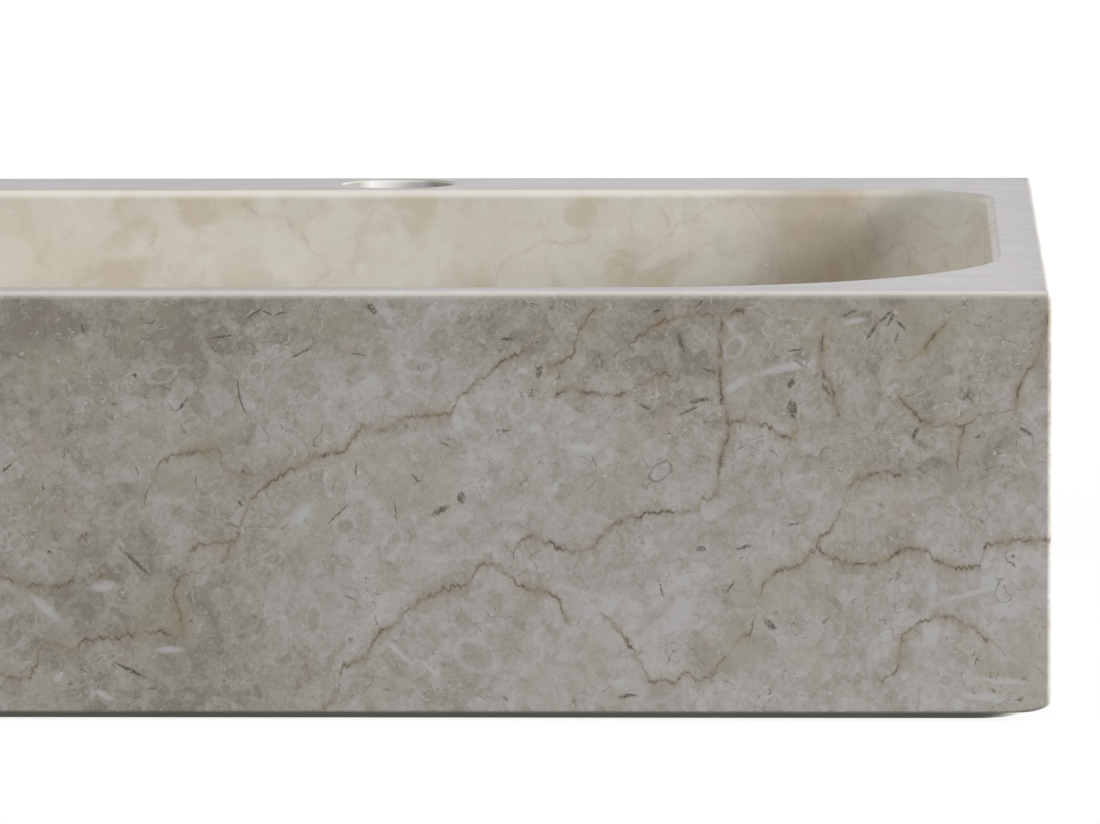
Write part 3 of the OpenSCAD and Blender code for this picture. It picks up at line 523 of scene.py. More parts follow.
    # Hairs and dashes: broken lines 0.2 to 0.4 mm wide and 1 to 6 mm long, pale where they are the edges of
    # shells and grey-green where clay has filled a crack, and thicker in some places.
    faint = add("Math MULTIPLY", [outer, outer])
    crowd = add("Math MULTIPLY", [clouds["crowd"], faint])
    for size, width, start, seed, shade in (
            (6.0, 0.016, 0.50, 29.0, "DDDAD5"), (3.5, 0.022, 0.53, 61.0, "D8D5CF"),
            (7.5, 0.010, 0.52, 11.0, "7D776A"), (5.0, 0.012, 0.56, 47.0, "767062"),
            (12.0, 0.006, 0.52, 83.0, "7D776A")):
        shifted = add("VectorMath ADD", [rubbed, (seed, -seed, seed * 0.7)])
        fold = add("TexNoise", {"Vector": shifted, "Scale": 1 / size, "Detail": 1.0, "Roughness": 0.3})
        fold = add("Math ABSOLUTE", [add("Math SUBTRACT", [fold, 0.5])])
        hair = add("MapRange", [fold, width, width * 0.3], **soft_step)
        torn = add("TexNoise", {"Vector": shifted, "Scale": 1 / (size * 0.42), "Detail": 2.0})
        torn = add("MapRange", [torn, start, start + 0.08, 0.0, 0.8])
        layers.append(([hair, torn, crowd], shade))
    for squash, turn, size in (((0.22, 1.0, 1.0), 0.5, 6.5), ((1.0, 1.0, 0.25), 0.3, 8.5),
                               ((0.2, 1.0, 1.0), -0.5, 9.0), ((0.25, 1.0, 1.0), 0.9, 4.5)):
        bent = add("VectorRotate", {0: rubbed, "Angle": turn}, rotation_type="Y_AXIS")
        bent = add("VectorMath MULTIPLY", [bent, squash])
        cell = add("TexVoronoi", {"Vector": bent, "Scale": 1 / size})
        luck = add("SeparateColor", [cell.outputs["Color"]])
        dash = add("MapRange", [cell.outputs["Distance"], 0.06, 0.025])
        kept = add("MapRange", [luck.outputs[1], 0.3, 1.0, 0.0, 0.9])
        kept = add("Math MULTIPLY", [kept, faint])
        layers.append(([dash, kept], "6F695C"))
    reach = mark_reach(add, rubbed, front_dashes)
    dash = add("MapRange", [reach, 1.15, 0.65, 0.0, 0.95])
    layers.append(([dash, clouds["grain"]], "5C574B"))

    # Calcite: white specks of 0.3 to 0.8 mm and rare milky spots of 2 to 4 mm.
    for size, rarity, grown, soft, shade in ((4.5, 0.4, 0.16, 0.06, "E2E0DD"),
                                             (16.0, 0.45, 0.14, 0.10, "DEDEDE")):
        cell = add("TexVoronoi", {"Vector": shelly, "Scale": 1 / size})
        luck = add("SeparateColor", [cell.outputs["Color"]])
        speck = add("MapRange", [luck.outputs[0], rarity, 1.0, -soft, grown])
        speck = add("Math SUBTRACT", [speck, cell.outputs["Distance"]])
        layers.append(([add("MapRange", [speck, 0.0, soft, 0.0, 0.7])], shade))

    # Seams: the front's own, and elsewhere the torn edges of 75 mm beds, which are faint in the basin. Fine
    # teeth stand up from each one.
    inside = add("MapRange", [axis["Y"], block_front + 1, block_front + 60, 0.0, 60.0], **soft_step)
    teeth = add("VectorMath MULTIPLY", [mm, (1.0, 1.0, 0.15)])
    teeth = add("TexNoise", {"Vector": teeth, "Scale": 1 / 1.3, "Detail": 1.0})
    teeth = add("MapRange", [teeth, 0.3, 0.7, -0.6, 0.6])
    cut = add("VectorMath ADD", [moved(mm, fray, 3.6), add("CombineXYZ", {2: teeth})])
    sheet = add("SeparateXYZ", [moved(cut, sway, inside)])
    front = vein_distance(add, sheet.outputs["X"], sheet.outputs["Z"], front_veins)
    joint = add("TexVoronoi", {"Vector": moved(cut, sway, 55.0), "Scale": 1 / 75},
                feature="DISTANCE_TO_EDGE")
    joint = add("Math MULTIPLY", [joint, 75.0])
    for shift in (clouds["shut"], ramps["behind"]):
        joint = add("Math ADD", [joint, shift])
    seam = add("Math MINIMUM", [front, joint])
    patch = add("Math MULTIPLY", [clouds["patch"], outer])
    layers.append(([add("MapRange", [seam, 3.8, 0.0], **soft_step), patch], "B4A58E"))
    width = add("Math DIVIDE", [seam, clouds["swell"]])
    worn = add("TexNoise", {"Vector": mm, "Scale": 1 / 5, "Detail": 3.0})
    rust = add("MapRange", [width, 1.25, 0.15, 0.0, 0.55], **soft_step)
    fade = add("MapRange", [worn, 0.32, 0.54, 0.3, 1.0])
    layers.append(([rust, add("Math MULTIPLY", [fade, outer])], "9B866E"))
    fade = add("MapRange", [worn, 0.44, 0.60, 0.08, 1.0])
    thread = add("MapRange", [width, 0.38, 0.08, 0.0, 0.85], **soft_step)
    thread = add("Math MULTIPLY", [thread, add("Math MULTIPLY", [fade, outer])])
    layers.append(([thread], "655A4A"))

    # Top: painted a cold grey, as a painted reflection of the pale sheen it shows at a low angle, with
    # streaks of the bed's grey, and darker to its left. Its front strip is darker along the basin, as painted
    # shade on the lip. Its outer edge, and the lip at the basin's back, are paler as painted highlights.
    layers.append(([ramps["top"]], "BEBBBF"))
    streak = add("VectorMath MULTIPLY", [drifted, (1 / 32, 1 / 6, 1 / 12)])
    streak = add("TexNoise", {"Vector": streak, "Scale": 1.0, "Detail": 4.0})
    streak = add("MapRange", [streak, 0.46, 0.66, 0.0, 0.38])
    # Painted highlight: the outer edge of the top is paler.
    painted_edge_highlight = add("MapRange", [out, 0.991, 0.9955, 0.0, 0.7])
    # Painted shade: the front strip of the top is darker along the basin's lip, fading to the right.
    painted_lip_shade = [ramps[name] for name in ("front_strip", "lip_shade_fade", "near_top", "front_lip", "started")]
    layers += [([streak, ramps["top"]], "989497"), ([ramps["deck_left"], ramps["top"]], "989497"),
               (painted_lip_shade, "938E86"),
               # Painted highlight: the lip at the basin's back is paler, fading where the right wall's shadow
               # falls.
               ([ramps["lip"], ramps["under_top"], within, ramps["back_lip"], ramps["lit"]], "F0EDE6"),
               ([painted_edge_highlight, ramps["arris"]], "F0EDE6")]

    # Tap hole and foot: the core drill leaves the bore's middle matt. The bore is painted grey, as painted
    # shade on its sides, and nearly white in its middle, as a painted highlight. The foot is painted pale, as
    # painted light.
    bore = add("VectorMath SUBTRACT", [mm, (0, tap_y, 0)])
    bore = add("VectorMath MULTIPLY", [bore, (1, 1, 0)])
    bore = add("VectorMath LENGTH", [bore]).outputs["Value"]
    # Painted shade: the bore is grey for the shade on its sides.
    drilled = add("MapRange", [bore, tap_r + 0.5, tap_r + 0.1])
    layers.append(([drilled], "B2AEA8"))
    # Painted highlight: the bore's middle is nearly white where light falls on its far wall, and it is made
    # matt there.
    matt_bore_painted_highlight = add("Math ABSOLUTE", [add("Math ADD", [axis["X"], 1.5])])
    matt_bore_painted_highlight = add("MapRange", [matt_bore_painted_highlight, 8.0, 12.0, 1.0, 0.0])
    matt_bore_painted_highlight = add("Math MULTIPLY", [drilled, matt_bore_painted_highlight])
    # Painted light: the foot is paler, to lighten the shaded gap under the block.
    layers += [([matt_bore_painted_highlight], "F8F7F4"), ([ramps["foot"]], "E6E3DA")]

    colour = ground.outputs[0]
    for masks, shade in layers:
        mask = masks[0]
        for share in masks[1:]:
            mask = add("Math MULTIPLY", [mask, share])
        colour = add("Mix", {0: mask, 6: colour, 7: linear(shade)}, data_type="RGBA").outputs[2]

    # Finish: honed, duller in the seams and in the bore's middle, on a slightly
    # wavy face, with a coat of wax.
    gloss = add("Math MULTIPLY_ADD", [thread, 0.3, clouds["haze"]])
    gloss = add("Math MULTIPLY_ADD", [matt_bore_painted_highlight, 0.4, gloss], use_clamp=True)
    wave = add("TexNoise", {"Vector": mm, "Scale": 1 / 14, "Detail": 1.0})
    depth = add("Math MULTIPLY_ADD", [thread, -0.4, wave])
    relief = add("Bump", {"Strength": 0.25, "Distance": 0.06 * MM, "Height": depth})
    skin = add("BsdfPrincipled", {"Base Color": colour, "Roughness": gloss, "IOR": 1.5, "Normal": relief,
                                  "Coat Weight": 0.25, "Coat Roughness": 0.3})
    add("OutputMaterial", {"Surface": skin})
    return stone


basin.data.materials.clear()
basin.data.materials.append(fossil_limestone())
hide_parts("marble_basin")
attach(basin, "sink")


# Waste body. A brass casting, machined and chrome plated: a flange that lies in the basin floor, a tail with
# a G 1 1/4 thread, and a bridge on three arms that holds the cartridge. The lock nut clamps it to the stone.
PITCH, THREAD_DEPTH = 2.309, 1.48
tail_r, throat_r, tail_low_z, flange_z, bridge_low_z = 20.95, 18.5, 2.0, 37.5, 18.006
relief_r, relief_z, arm_w, arm_h, boss_r, boss_bore_r = 19.4, (10.0, 11.2), 4.0, 5.0, 9.6, 7.1


def rounded(corners, steps=5):
    """Closed profile through corners of (radius, height, reach). Each corner becomes a quadratic
    curve from the point its reach before it to the point its reach after it: (1-t)^2 before +
    2t(1-t) corner + t^2 after."""
    corners = np.array(corners, float)
    point, reach = corners[:, :2], corners[:, 2:]
    back, on = np.roll(point, 1, axis=0) - point, np.roll(point, -1, axis=0) - point
    before = point + back / np.linalg.norm(back, axis=1, keepdims=True) * reach
    after = point + on / np.linalg.norm(on, axis=1, keepdims=True) * reach
    t = np.linspace(0, 1, steps)[:, None, None]
    curve = (1 - t) ** 2 * before + 2 * t * (1 - t) * point + t ** 2 * after
    curve = curve.transpose(1, 0, 2).reshape(-1, 2)
    return curve[np.linalg.norm(curve - np.roll(curve, 1, axis=0), axis=1) > 1e-4]


def stepped(profile, gap):
    """Closed profile with points put in along it, so that none is further than gap from the next."""
    ends = np.roll(profile, -1, axis=0)
    counts = np.ceil(np.linalg.norm(ends - profile, axis=1) / gap).astype(int)
    return np.concatenate([np.linspace(a, b, n, endpoint=False) for a, b, n in zip(profile, ends, counts)])


def threaded(radius, height, angle, pitch, depth, low, high):
    """Radius cut by a round V thread: it falls by depth times half of 1 - cos of the turns that height and
    bearing make, and the cut fades in over half a turn at each end."""
    wave = 0.5 - 0.5 * np.cos(2 * np.pi * height / pitch - angle)
    fade = np.clip((height - low) / pitch * 2, 0, 1) * np.clip((high - height) / pitch * 2, 0, 1)
    return radius - depth * wave * fade


def round_piece(name, profile, steps=180, shape=None):
    """Mesh turned about the drain's axis from a closed profile in millimetres. shape, if given, changes the
    radius by height and bearing, as a thread or a hexagon does."""
    angle = np.linspace(0, 2 * np.pi, steps, endpoint=False)[None, :]
    radius = np.repeat(profile[:, :1], steps, axis=1)
    height = np.repeat(profile[:, 1:], steps, axis=1)
    if shape is not None:
        radius = shape(radius, height, angle)
    loops = np.stack([radius * np.cos(angle), radius * np.sin(angle) + drain_y, height], axis=-1)
    return closed_sweep(name, loops)


def cast_arm(name, bearing, start, stop):
    """Arm of the bridge: a rounded oblong section, |across|^5 + |up|^5 = 1, carried out from
    start to stop along its bearing. It swells by the cube of the distance from its middle, as a
    casting does at its roots."""
    turn = np.linspace(0, 2 * np.pi, 32, endpoint=False)
    across = np.sign(np.cos(turn)) * np.abs(np.cos(turn)) ** 0.4
    up = np.sign(np.sin(turn)) * np.abs(np.sin(turn)) ** 0.4
    share = np.linspace(0, 1, 25)[:, None]
    swell = 1 + 0.45 * np.abs(2 * share - 1) ** 3
    out = start + (stop - start) * share + 0 * across
    side = across * arm_w / 2 * swell
    height = bridge_low_z + arm_h / 2 + up * arm_h / 2 + 0 * share
    loops = np.stack([out * math.cos(bearing) - side * math.sin(bearing),
                      out * math.sin(bearing) + side * math.cos(bearing) + drain_y, height], axis=-1)
    here = numbered(loops)
    return mesh_of(name, loops, bands(here[:-1], here[1:]) + [here[0][::-1].tolist(), here[-1].tolist()])


def joined(name, meshes):
    """One mesh that holds the surfaces of several."""
    build = bmesh.new()
    for mesh in meshes:
        build.from_mesh(mesh)
    whole = bpy.data.meshes.new(name)
    build.to_mesh(whole)
    build.free()
    return whole


def tail_thread(radius, height, angle):
    """The tail's outside carries the thread below and above the groove that ends the trap's share of it."""
    cut = threaded(radius, height, angle, PITCH, THREAD_DEPTH, tail_low_z + 0.4, relief_z[0])
    cut = np.where(height > relief_z[1],
                   threaded(radius, height, angle, PITCH, THREAD_DEPTH, relief_z[1], 35.5), cut)
    return np.where((np.abs(radius - tail_r) < 0.9) & (height < 35.5), np.maximum(cut, throat_r + 0.9),
                    radius)


waste_profile = rounded([
    (throat_r, tail_low_z, 0.2), (20.15, tail_low_z, 0.1), (tail_r, 2.8, 0.1), (tail_r, relief_z[0], 0.1),
    (relief_r, relief_z[0] + 0.3, 0.2), (relief_r, relief_z[1] - 0.3, 0.2), (tail_r, relief_z[1], 0.1),
    (tail_r, flange_z, 0.3), (31.5, flange_z, 0.7), (31.5, 39.0, 0.8), (22.0, 38.2, 0.9),
    (throat_r, 35.5, 0.6)])
boss_profile = rounded([(boss_bore_r, bridge_low_z, 0.4), (boss_r, bridge_low_z, 0.7), (boss_r, 24.006, 0.4),
                        (boss_bore_r, 24.006, 0.3)])
waste = shown("waste_casting", joined("waste_casting", [
    round_piece("waste_shell", stepped(waste_profile, 0.24), shape=tail_thread),
    round_piece("boss", boss_profile),
    *[cast_arm("arm", math.radians(90 + 120 * i), 8.4, 19.2) for i in range(3)]]))


def lathe_place(add):
    """Place in millimetres from the drain's axis, and the same place as (distance from the axis, 0,
    height): a pattern read at the second runs in rings, as a lathe tool's marks do."""
    place = add("TexCoord").outputs["Object"]
    mm = add("VectorMath MULTIPLY_ADD", [place, (1000, 1000, 1000), (0, -drain_y, 0)])
    flat = add("VectorMath MULTIPLY", [mm, (1, 1, 0)])
    out = add("VectorMath LENGTH", [flat]).outputs["Value"]
    height = add("SeparateXYZ", [mm]).outputs["Z"]
    return mm, add("CombineXYZ", {0: out, 2: height})


def chrome_plate():
    """Bright chrome over polished brass: a near mirror with a faint wave from the polishing wheel, hair-fine
    rubbing marks, and dull rings where drops of hard water have dried."""
    chrome, add = new_material("polished_chrome_plate")
    mm, ring_place = lathe_place(add)
    rub = add("TexNoise", {"Vector": ring_place, "Scale": 1 / 0.35, "Detail": 3.0})
    rub = add("MapRange", [rub, 0.35, 0.65, 0.05, 0.09])
    drop = add("TexVoronoi", {"Vector": mm, "Scale": 1 / 6.5})
    luck = add("SeparateColor", [drop.outputs["Color"]])
    size = add("MapRange", {0: luck.outputs[0], 3: -0.12, 4: 0.24})
    edge = add("Math SUBTRACT", [drop.outputs["Distance"], size])
    edge = add("Math ABSOLUTE", [edge])
    edge = add("MapRange", [edge, 0.045, 0.0, 0.0, 0.16], interpolation_type="SMOOTHSTEP")
    rough = add("Math ADD", [rub, edge])
    cloud = add("TexNoise", {"Vector": mm, "Scale": 1 / 12, "Detail": 2.0})
    colour = add("ValToRGB", [cloud], stops=[(0.0, "C0C1C2"), (1.0, "CACBCB")])
    wave = add("TexNoise", {"Vector": mm, "Scale": 1 / 7, "Detail": 0.0})
    relief = add("Bump", {"Strength": 0.15, "Distance": 0.02 * MM, "Height": wave})
    skin = add("BsdfPrincipled", {"Base Color": colour, "Metallic": 1.0, "Roughness": rough, "Normal": relief})
    add("OutputMaterial", {"Surface": skin})
    return chrome


chrome = chrome_plate()
waste.data.materials.append(chrome)
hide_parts("waste_body")
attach(waste, "sink")


# Gaskets and slip washer. A thin ring of closed-cell foam seals the flange to the stone, a
# moulded rubber ring with a collar seals and centres the tail below, and a smooth plastic ring
# lets the nut turn on the rubber.
foam_ring = shown("foam_gasket", round_piece("foam_gasket", rounded([
    (22.5, 36.5, 0.25), (30.9, 36.5, 0.35), (30.9, 37.5, 0.35), (22.5, 37.5, 0.25)])))
rubber_ring = shown("rubber_gasket", round_piece("rubber_gasket", rounded([
    (21.2, 21.0, 0.3), (29.2, 21.0, 0.6), (29.2, 24.0, 0.6), (22.3, 24.0, 0.3), (22.2, 27.0, 0.35),
    (21.2, 27.0, 0.35)])))
slip_ring = shown("slip_ring", round_piece("slip_ring", rounded([
    (21.2, 19.8, 0.15), (29.7, 19.8, 0.25), (29.7, 21.0, 0.25), (21.2, 21.0, 0.15)])))


def moulded(name, deep, pale, rough, sizes, height, pores=0.0):
    """Moulded or foamed plastic and rubber: two close shades in soft clouds, a fine grain of a size in
    millimetres that stands up by a height, and pores as small round pits where there are any."""
    stuff, add = new_material(name)
    mm = lathe_place(add)[0]
    cloud = add("TexNoise", {"Vector": mm, "Scale": 1 / sizes[0], "Detail": 3.0})
    cloud = add("MapRange", [cloud, 0.35, 0.65])
    grain = add("TexNoise", {"Vector": mm, "Scale": 1 / sizes[1], "Detail": 2.0})
    pit = add("TexVoronoi", {"Vector": mm, "Scale": 1 / 0.5})
    pit = add("MapRange", [pit.outputs["Distance"], 0.1, 0.45, -pores, 0.0])
    level = add("Math ADD", [grain, pit])
    colour = add("Mix", {0: cloud, 6: linear(deep), 7: linear(pale)}, data_type="RGBA").outputs[2]
    sheen = add("MapRange", [grain, 0.3, 0.7, rough - 0.06, rough + 0.06])
    relief = add("Bump", {"Strength": 0.6, "Distance": height * MM, "Height": level})
    skin = add("BsdfPrincipled", {"Base Color": colour, "Roughness": sheen, "IOR": 1.52, "Normal": relief})
    add("OutputMaterial", {"Surface": skin})
    return stuff


# Nitrile rubber is a dull black with a dusty bloom, EVA foam a soft dark grey full of pits, and natural
# polyethylene a waxy off-white.
rubber = moulded("moulded_nitrile_rubber", "161616", "252524", 0.72, (5.0, 0.25), 0.02)
for piece, node, slot, stuff in (
        (foam_ring, "flange_gasket", "foam",
         moulded("closed_cell_eva_foam", "262626", "333332", 0.85, (4.0, 0.4), 0.12, 1.2)),
        (rubber_ring, "under_gasket", "rubber", rubber),
        (slip_ring, "slip_washer", "plastic",
         moulded("moulded_polyethylene", "E2DFD3", "EBE9E0", 0.42, (9.0, 0.6), 0.01))):
    piece.data.materials.append(stuff)
    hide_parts(node)
    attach(piece, "sink")


# Lock nut. Forged from brass bar and turned on a lathe: a hexagon of 54 mm with its lower corners chamfered,
# a round face that presses on the slip ring, and a thread that matches the tail's.
NUT_LOW, NUT_TOP, NUT_AF = 11.8, 19.8, 54.0


def hexagonal(radius, angle, across_flats):
    """Radius held inside a hexagon with a corner on +X: half the width over cos
    of the bearing from a flat."""
    return np.minimum(radius, across_flats / 2 / np.cos(np.mod(angle, np.pi / 3) - np.pi / 6))


def nut_shape(radius, height, angle):
    """Outside: the hexagon. Bore: the tail's thread, a tenth of a millimetre larger."""
    bore = threaded(radius, height, angle, PITCH, THREAD_DEPTH, NUT_LOW + 0.6, NUT_TOP + 1)
    return np.where(radius < 22.2, bore, hexagonal(radius, angle, NUT_AF))


nut = shown("forged_lock_nut", round_piece("forged_lock_nut", stepped(rounded([
    (22.05, NUT_LOW, 0.1), (28.2, NUT_LOW, 0.15), (31.3, NUT_LOW + 3.1, 0.05), (31.3, 17.8, 0.15),
    (26.7, 17.8, 0.1), (26.7, NUT_TOP, 0.3), (tail_r + 0.1, NUT_TOP, 0.2),
    (tail_r + 0.1, NUT_LOW + 1.0, 0.1)]), 0.2),
    steps=240, shape=nut_shape))


def turned_brass(name, ring_size, tarnish):
    """Bare brass: warm yellow, browned in soft clouds where hands and damp have been, and scored in fine
    rings by the lathe tool, which are drawn a little coarser than real so that they show."""
    brass, add = new_material(name)
    mm, ring_place = lathe_place(add)
    score = add("TexNoise", {"Vector": ring_place, "Scale": 1 / ring_size, "Detail": 2.0})
    cloud = add("TexNoise", {"Vector": mm, "Scale": 1 / 6, "Detail": 4.0})
    aged = add("MapRange", [cloud, 0.45, 0.68, 0.0, tarnish], interpolation_type="SMOOTHSTEP")
    tone = add("MapRange", [score, 0.35, 0.65])
    colour = add("Mix", {0: tone, 6: linear("D9B76F"), 7: linear("E6C886")}, data_type="RGBA").outputs[2]
    colour = add("Mix", {0: aged, 6: colour, 7: linear("A98248")}, data_type="RGBA").outputs[2]
    rough = add("MapRange", [score, 0.3, 0.7, 0.24, 0.36])
    rough = add("Math MULTIPLY_ADD", [aged, 0.2, rough])
    relief = add("Bump", {"Strength": 0.5, "Distance": 0.03 * MM, "Height": score})
    skin = add("BsdfPrincipled", {"Base Color": colour, "Metallic": 1.0, "Roughness": rough, "Normal": relief})
    add("OutputMaterial", {"Surface": skin})
    return brass


nut.data.materials.append(turned_brass("forged_and_turned_brass", 0.35, 0.6))
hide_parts("lock_nut")
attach(nut, "sink")


# Cap. Pressed and turned from brass and chrome plated: a low dome with a rolled rim, a skirt with a groove
# for the rubber ring, and a middle boss screwed to the plunger. It closes the waste and lifts by 8 mm.
CAP_Z, CAP_RIM_R, CAP_DOME_R = 40.2, 29.1, 126.23
rim_turn = np.radians(np.linspace(-90, 76.7, 22))
dome_r = 29.2 * np.cos(np.linspace(0, np.pi / 2, 40))
cap_profile = [
    (0, CAP_Z), (3.1, CAP_Z), (3.1, 33.2), (3.3, 33.006), (5.3, 33.006), (5.5, 33.2), (5.5, 40.0),
    (5.7, CAP_Z), (14.38, CAP_Z), (14.583, 40.0), (14.583, 35.4), (14.78, 35.206), (17.28, 35.206),
    (17.483, 35.4), (17.483, 35.95), (17.43, 36.006), (16.683, 36.006), (16.683, 39.206), (17.43, 39.206),
    (17.483, 39.26), (17.483, 40.0), (17.68, CAP_Z)]
cap_profile += list(zip(CAP_RIM_R + 0.9 * np.cos(rim_turn), CAP_Z + 0.9 + 0.9 * np.sin(rim_turn)))
dome_z = 45.4 - CAP_DOME_R + np.sqrt(CAP_DOME_R ** 2 - dome_r[:-1] ** 2)
cap_profile += list(zip(dome_r[:-1], dome_z)) + [(0, 45.4)]
cap = shown("domed_cap", turned("domed_cap", cap_profile, steps=240, y=drain_y))
cap.data.materials.append(chrome)
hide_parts("plug_cap")
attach(cap, "plug")

# Rubber ring of the cap: a moulded nitrile cord ring, 3 mm thick, stretched into the skirt's groove.
section = np.linspace(0, 2 * np.pi, 40, endpoint=False)
seal = shown("cap_ring", round_piece("cap_ring", np.column_stack([18.283 + 1.5 * np.cos(section),
                                                                  37.606 + 1.5 * np.sin(section)])))
seal.data.materials.append(rubber)
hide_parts("plug_seal")
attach(seal, "plug")

# Jam nut and plunger. The nut is cut from 10 mm hexagon bar with both faces chamfered, and it locks the cap
# on the plunger, a turned brass rod with a hollow piston and a milled heart-shaped track.
JAM_LOW, JAM_TOP = 30.906, 33.0
turned_parts = turned_brass("bright_turned_brass", 0.22, 0.35)
jam = shown("jam_hexagon", round_piece("jam_hexagon", stepped(rounded([
    (3.35, JAM_LOW, 0.05), (5.0, JAM_LOW, 0.1), (5.8, JAM_LOW + 0.45, 0.02), (5.8, JAM_TOP - 0.45, 0.02),
    (5.0, JAM_TOP, 0.1), (3.35, JAM_TOP, 0.05), (3.1, JAM_TOP - 0.25, 0.05),
    (3.1, JAM_LOW + 0.25, 0.05)]), 0.12), steps=120,
    shape=lambda radius, height, angle: hexagonal(radius, angle, 10.0)))
jam.data.materials.append(turned_parts)
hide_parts("jam_nut")
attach(jam, "plug")
bpy.data.objects["plunger"].material_slots[0].material = turned_parts


# Cartridge barrel. Turned from brass bar with a fine thread for the bridge, a 17 mm hexagon for the wrench,
# a chamber bored for the piston, and a slot milled in its front for the wire that latches the cap.
BARREL_LOW, BARREL_AF, HEX_LOW, HEX_TOP, NOSE_TOP = 6.606, 17.0, 24.806, 28.606, 30.606


def barrel_shape(radius, height, angle):
    """Outside below the hexagon: a thread of 1 mm pitch. On the hexagon: its six flats."""
    screw = threaded(radius, height, angle, 1.0, 0.6, BARREL_LOW + 0.2, HEX_LOW - 0.8)
    screw = np.where((radius > 6.3) & (height < HEX_LOW - 0.1), screw, radius)
    return np.where((height >= HEX_LOW - 0.1) & (height <= HEX_TOP + 0.1),
                    hexagonal(screw, angle, BARREL_AF), screw)


def cutter(name, low, high):
    """Box between two corners in millimetres from the drain's axis, to cut with."""
    corner = np.array([[x, y, z] for z in (0, 1) for y in (0, 1) for x in (0, 1)], float)
    place = np.array(low) + (np.array(high) - np.array(low)) * corner + np.array([0, drain_y, 0])
    return shown(name, mesh_of(name, place, [(0, 2, 3, 1), (4, 5, 7, 6), (0, 1, 5, 4), (1, 3, 7, 5),
                                             (3, 2, 6, 7), (2, 0, 4, 6)]))


barrel = shown("threaded_barrel", round_piece("threaded_barrel", stepped(rounded([
    (5.25, BARREL_LOW, 0.1), (6.4, BARREL_LOW, 0.1), (7.0, BARREL_LOW + 0.6, 0.1), (7.0, HEX_LOW, 0.05),
    (9.0, HEX_LOW, 0.05), (9.85, HEX_LOW + 0.6, 0.02), (9.85, HEX_TOP - 0.6, 0.02), (9.0, HEX_TOP, 0.05),
    (7.0, HEX_TOP, 0.05), (7.0, 30.106, 0.2), (6.0, 30.2, 0.05), (6.0, NOSE_TOP, 0.2),
    (4.05, NOSE_TOP, 0.15), (4.05, HEX_TOP, 0.1), (5.25, HEX_TOP, 0.1), (5.25, 8.206, 0.05),
    (5.75, 8.206, 0.1), (5.75, 7.206, 0.1), (5.25, 7.206, 0.05)]), 0.11), steps=120, shape=barrel_shape))
wire_slots = [cutter("wire_slot", (1.05, -8.0, 17.956), (2.15, -4.5, 23.156)),
              cutter("hook_slot", (-0.6, -8.0, 22.056), (1.6, -5.05, 23.156))]
for slot in wire_slots:
    finished(barrel, ("BOOLEAN", {"operation": "DIFFERENCE", "object": slot, "solver": "EXACT"}))
    bpy.data.objects.remove(slot)
barrel.data.set_sharp_from_angle(angle=math.radians(35))
barrel.data.materials.clear()
barrel.data.materials.append(turned_parts)
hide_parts("cartridge_barrel")
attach(barrel, "sink")


# Washer, spring, seat and follower wire. A ring of red vulcanised fibre seals the barrel's
# hexagon. Inside are a wound spring of drawn stainless wire, the stamped disc it stands on, and
# the bent wire that latches the cap.
def vulcanised_fibre():
    """Red vulcanised fibre: hard, horny paper board with a dull skin, streaked along
    the sheet it was cut from."""
    fibre, add = new_material("red_vulcanised_fibre")
    place = add("TexCoord").outputs["Object"]
    mm = add("VectorMath SCALE", {0: place, "Scale": 1 / MM})
    along = add("VectorMath MULTIPLY", [mm, (0.3, 2.5, 4.0)])
    streak = add("TexNoise", {"Vector": along, "Scale": 1.0, "Detail": 4.0, "Roughness": 0.6})
    colour = add("ValToRGB", [streak], stops=[(0.3, "74301F"), (0.7, "96452F")])
    rough = add("MapRange", [streak, 0.3, 0.7, 0.52, 0.66])
    relief = add("Bump", {"Strength": 0.4, "Distance": 0.02 * MM, "Height": streak})
    skin = add("BsdfPrincipled", {"Base Color": colour, "Roughness": rough, "Normal": relief})
    add("OutputMaterial", {"Surface": skin})
    return fibre


def drawn_steel():
    """Drawn stainless wire and strip: pale neutral steel with fine scores along the
    draw and a dull oil film."""
    steel, add = new_material("drawn_stainless_steel")
    mm, ring_place = lathe_place(add)
    score = add("TexNoise", {"Vector": ring_place, "Scale": 1 / 0.15, "Detail": 2.0})
    film = add("TexNoise", {"Vector": mm, "Scale": 1 / 2.5, "Detail": 3.0})
    colour = add("ValToRGB", [film], stops=[(0.35, "B2B1AC"), (0.65, "C6C6C4")])
    rough = add("MapRange", [score, 0.3, 0.7, 0.2, 0.34])
    relief = add("Bump", {"Strength": 0.4, "Distance": 0.01 * MM, "Height": score})
    skin = add("BsdfPrincipled", {"Base Color": colour, "Metallic": 1.0, "Roughness": rough, "Normal": relief})
    add("OutputMaterial", {"Surface": skin})
    return steel


bpy.data.objects["barrel_washer"].material_slots[0].material = vulcanised_fibre()
steel = drawn_steel()
for node in ("cartridge_spring", "spring_seat", "follower_wire"):
    bpy.data.objects[node].material_slots[0].material = steel


# Floor and backdrop. White paper laid flat, which shows as white to the camera and in gloss, and which
# keeps the sink's soft shadow.
def seen_plainly(add):
    """1 where the camera sees a surface, straight on or in gloss or glass, and 0
    where it only gives light."""
    path = add("LightPath").outputs
    seen = add("Math MAXIMUM", [path["Is Camera Ray"], path["Is Glossy Ray"]])
    return add("Math MAXIMUM", [seen, path["Is Transmission Ray"]])


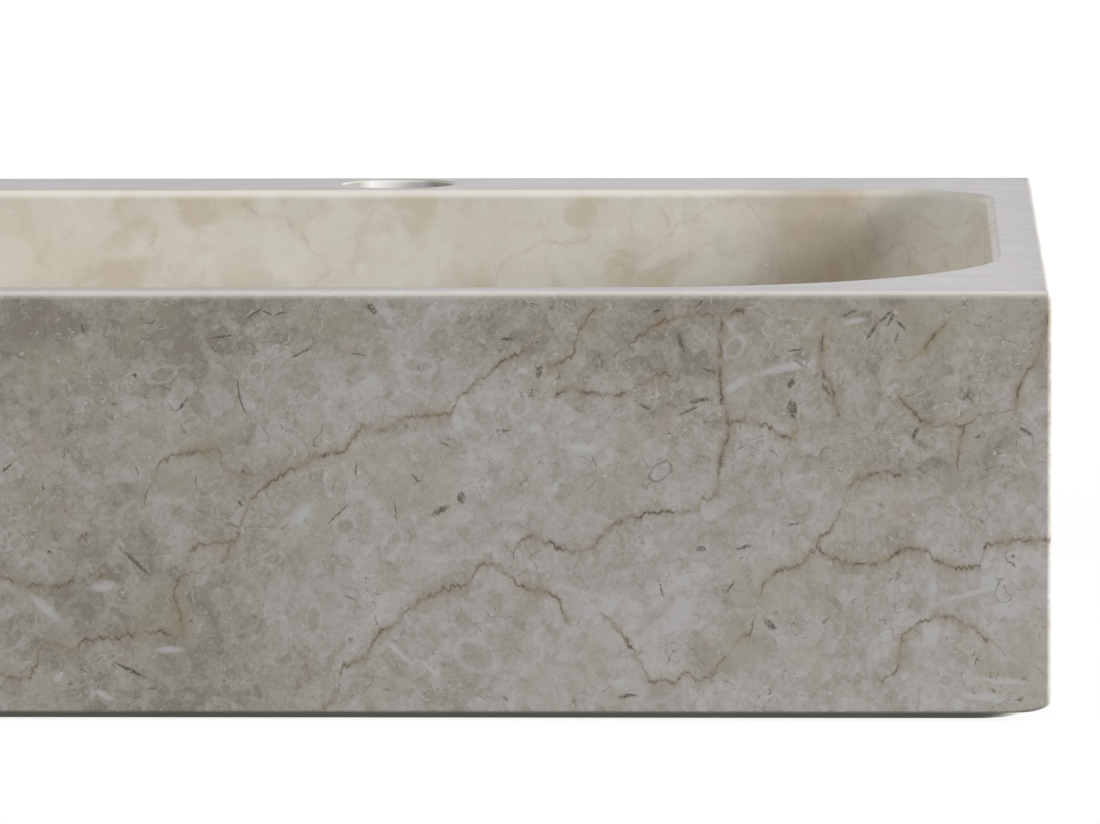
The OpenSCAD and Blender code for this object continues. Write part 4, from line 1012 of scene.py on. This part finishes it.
def white_paper():
    """Matt paper that gives off its own white to the camera and in gloss: all of it far off, and nine tenths
    near the sink, where the last tenth is its lit side and shows the shadow."""
    paper, add = new_material("white_paper")
    seen = seen_plainly(add)
    away = add("VectorMath LENGTH", [add("TexCoord").outputs["Object"]])
    glow = add("MapRange", [away.outputs["Value"], 0.4, 1.2, 0.9, 1.0])
    matt = add("BsdfDiffuse", {"Color": linear("8A8A89")})
    faint = add("BsdfDiffuse", {"Color": linear("6B6B6A")})
    white = add("Emission", {"Color": linear("FFFFFF"), "Strength": glow})
    lit = add("AddShader", [white, faint])
    both = add("MixShader", [seen, matt, lit])
    add("OutputMaterial", {"Surface": both})
    return paper


far = 12.0
paper_mesh = bpy.data.meshes.new("floor")
paper_mesh.from_pydata([(-far, -far, 0), (far, -far, 0), (far, far, 0), (-far, far, 0)], [], [(0, 1, 2, 3)])
floor = bpy.data.objects.new("floor", paper_mesh)
bpy.context.scene.collection.objects.link(floor)
paper_mesh.materials.append(white_paper())


# Light. An even pale room, a soft key lamp low on the right, which grazes the front face and lights the
# basin from within, a large weak lamp high on the left, and a small fill lamp below it.
def pale_room(level):
    """World that lights evenly at a level, and shows white to the camera and in gloss."""
    world = bpy.data.worlds.new("pale_room")
    bpy.context.scene.world = world
    world.use_nodes = True
    world.node_tree.nodes.clear()
    add = partial(add_node, world)
    seen = seen_plainly(add)
    soft = add("Background", {"Color": linear("FFFFFF"), "Strength": level})
    white = add("Background", {"Color": linear("FFFFFF"), "Strength": 1.0})
    both = add("MixShader", [seen, soft, white])
    add("OutputWorld", {"Surface": both})


def soft_lamp(name, spot, aim, size, watts):
    """Square area lamp of a size in metres, at a spot, turned to an aim."""
    lamp = bpy.data.lights.new(name, "AREA")
    lamp.size, lamp.energy = size, watts
    holder = bpy.data.objects.new(name, lamp)
    bpy.context.scene.collection.objects.link(holder)
    way = np.array(aim) - np.array(spot)
    holder.location = spot
    holder.rotation_euler = (math.acos(-way[2] / np.linalg.norm(way)), 0,
                             math.atan2(way[1], way[0]) - math.pi / 2)


room_level, mid_basin = 0.095, (0.0, 0.0, 0.08)
pale_room(room_level)
soft_lamp("key_lamp", (2.76, -0.74, 0.93), mid_basin, size=1.0, watts=100)
soft_lamp("top_lamp", (-1.30, -0.75, 2.60), mid_basin, size=2.0, watts=25)
soft_lamp("fill_lamp", (-2.47, -1.43, 0.93), mid_basin, size=1.2, watts=14)


# Camera. A long lens in front of the sink, a little above its rim and to the right of its middle.
lens = bpy.data.cameras.new("camera")
lens.lens, lens.sensor_width, lens.clip_end = 312.06, 36.0, 60.0
camera = bpy.data.objects.new("camera", lens)
bpy.context.scene.collection.objects.link(camera)
camera_spot, to_left_deg, down_deg, roll_deg = (0.15618, -2.8275, 0.35929), 2.0709, 5.9233, -0.2202
camera.matrix_world = (Matrix.Translation(camera_spot)
                       @ Matrix.Rotation(math.radians(to_left_deg), 4, "Z")
                       @ Matrix.Rotation(math.radians(90 - down_deg), 4, "X")
                       @ Matrix.Rotation(math.radians(roll_deg), 4, "Z"))
bpy.context.scene.camera = camera
bpy.context.scene.view_settings.view_transform = "Standard"
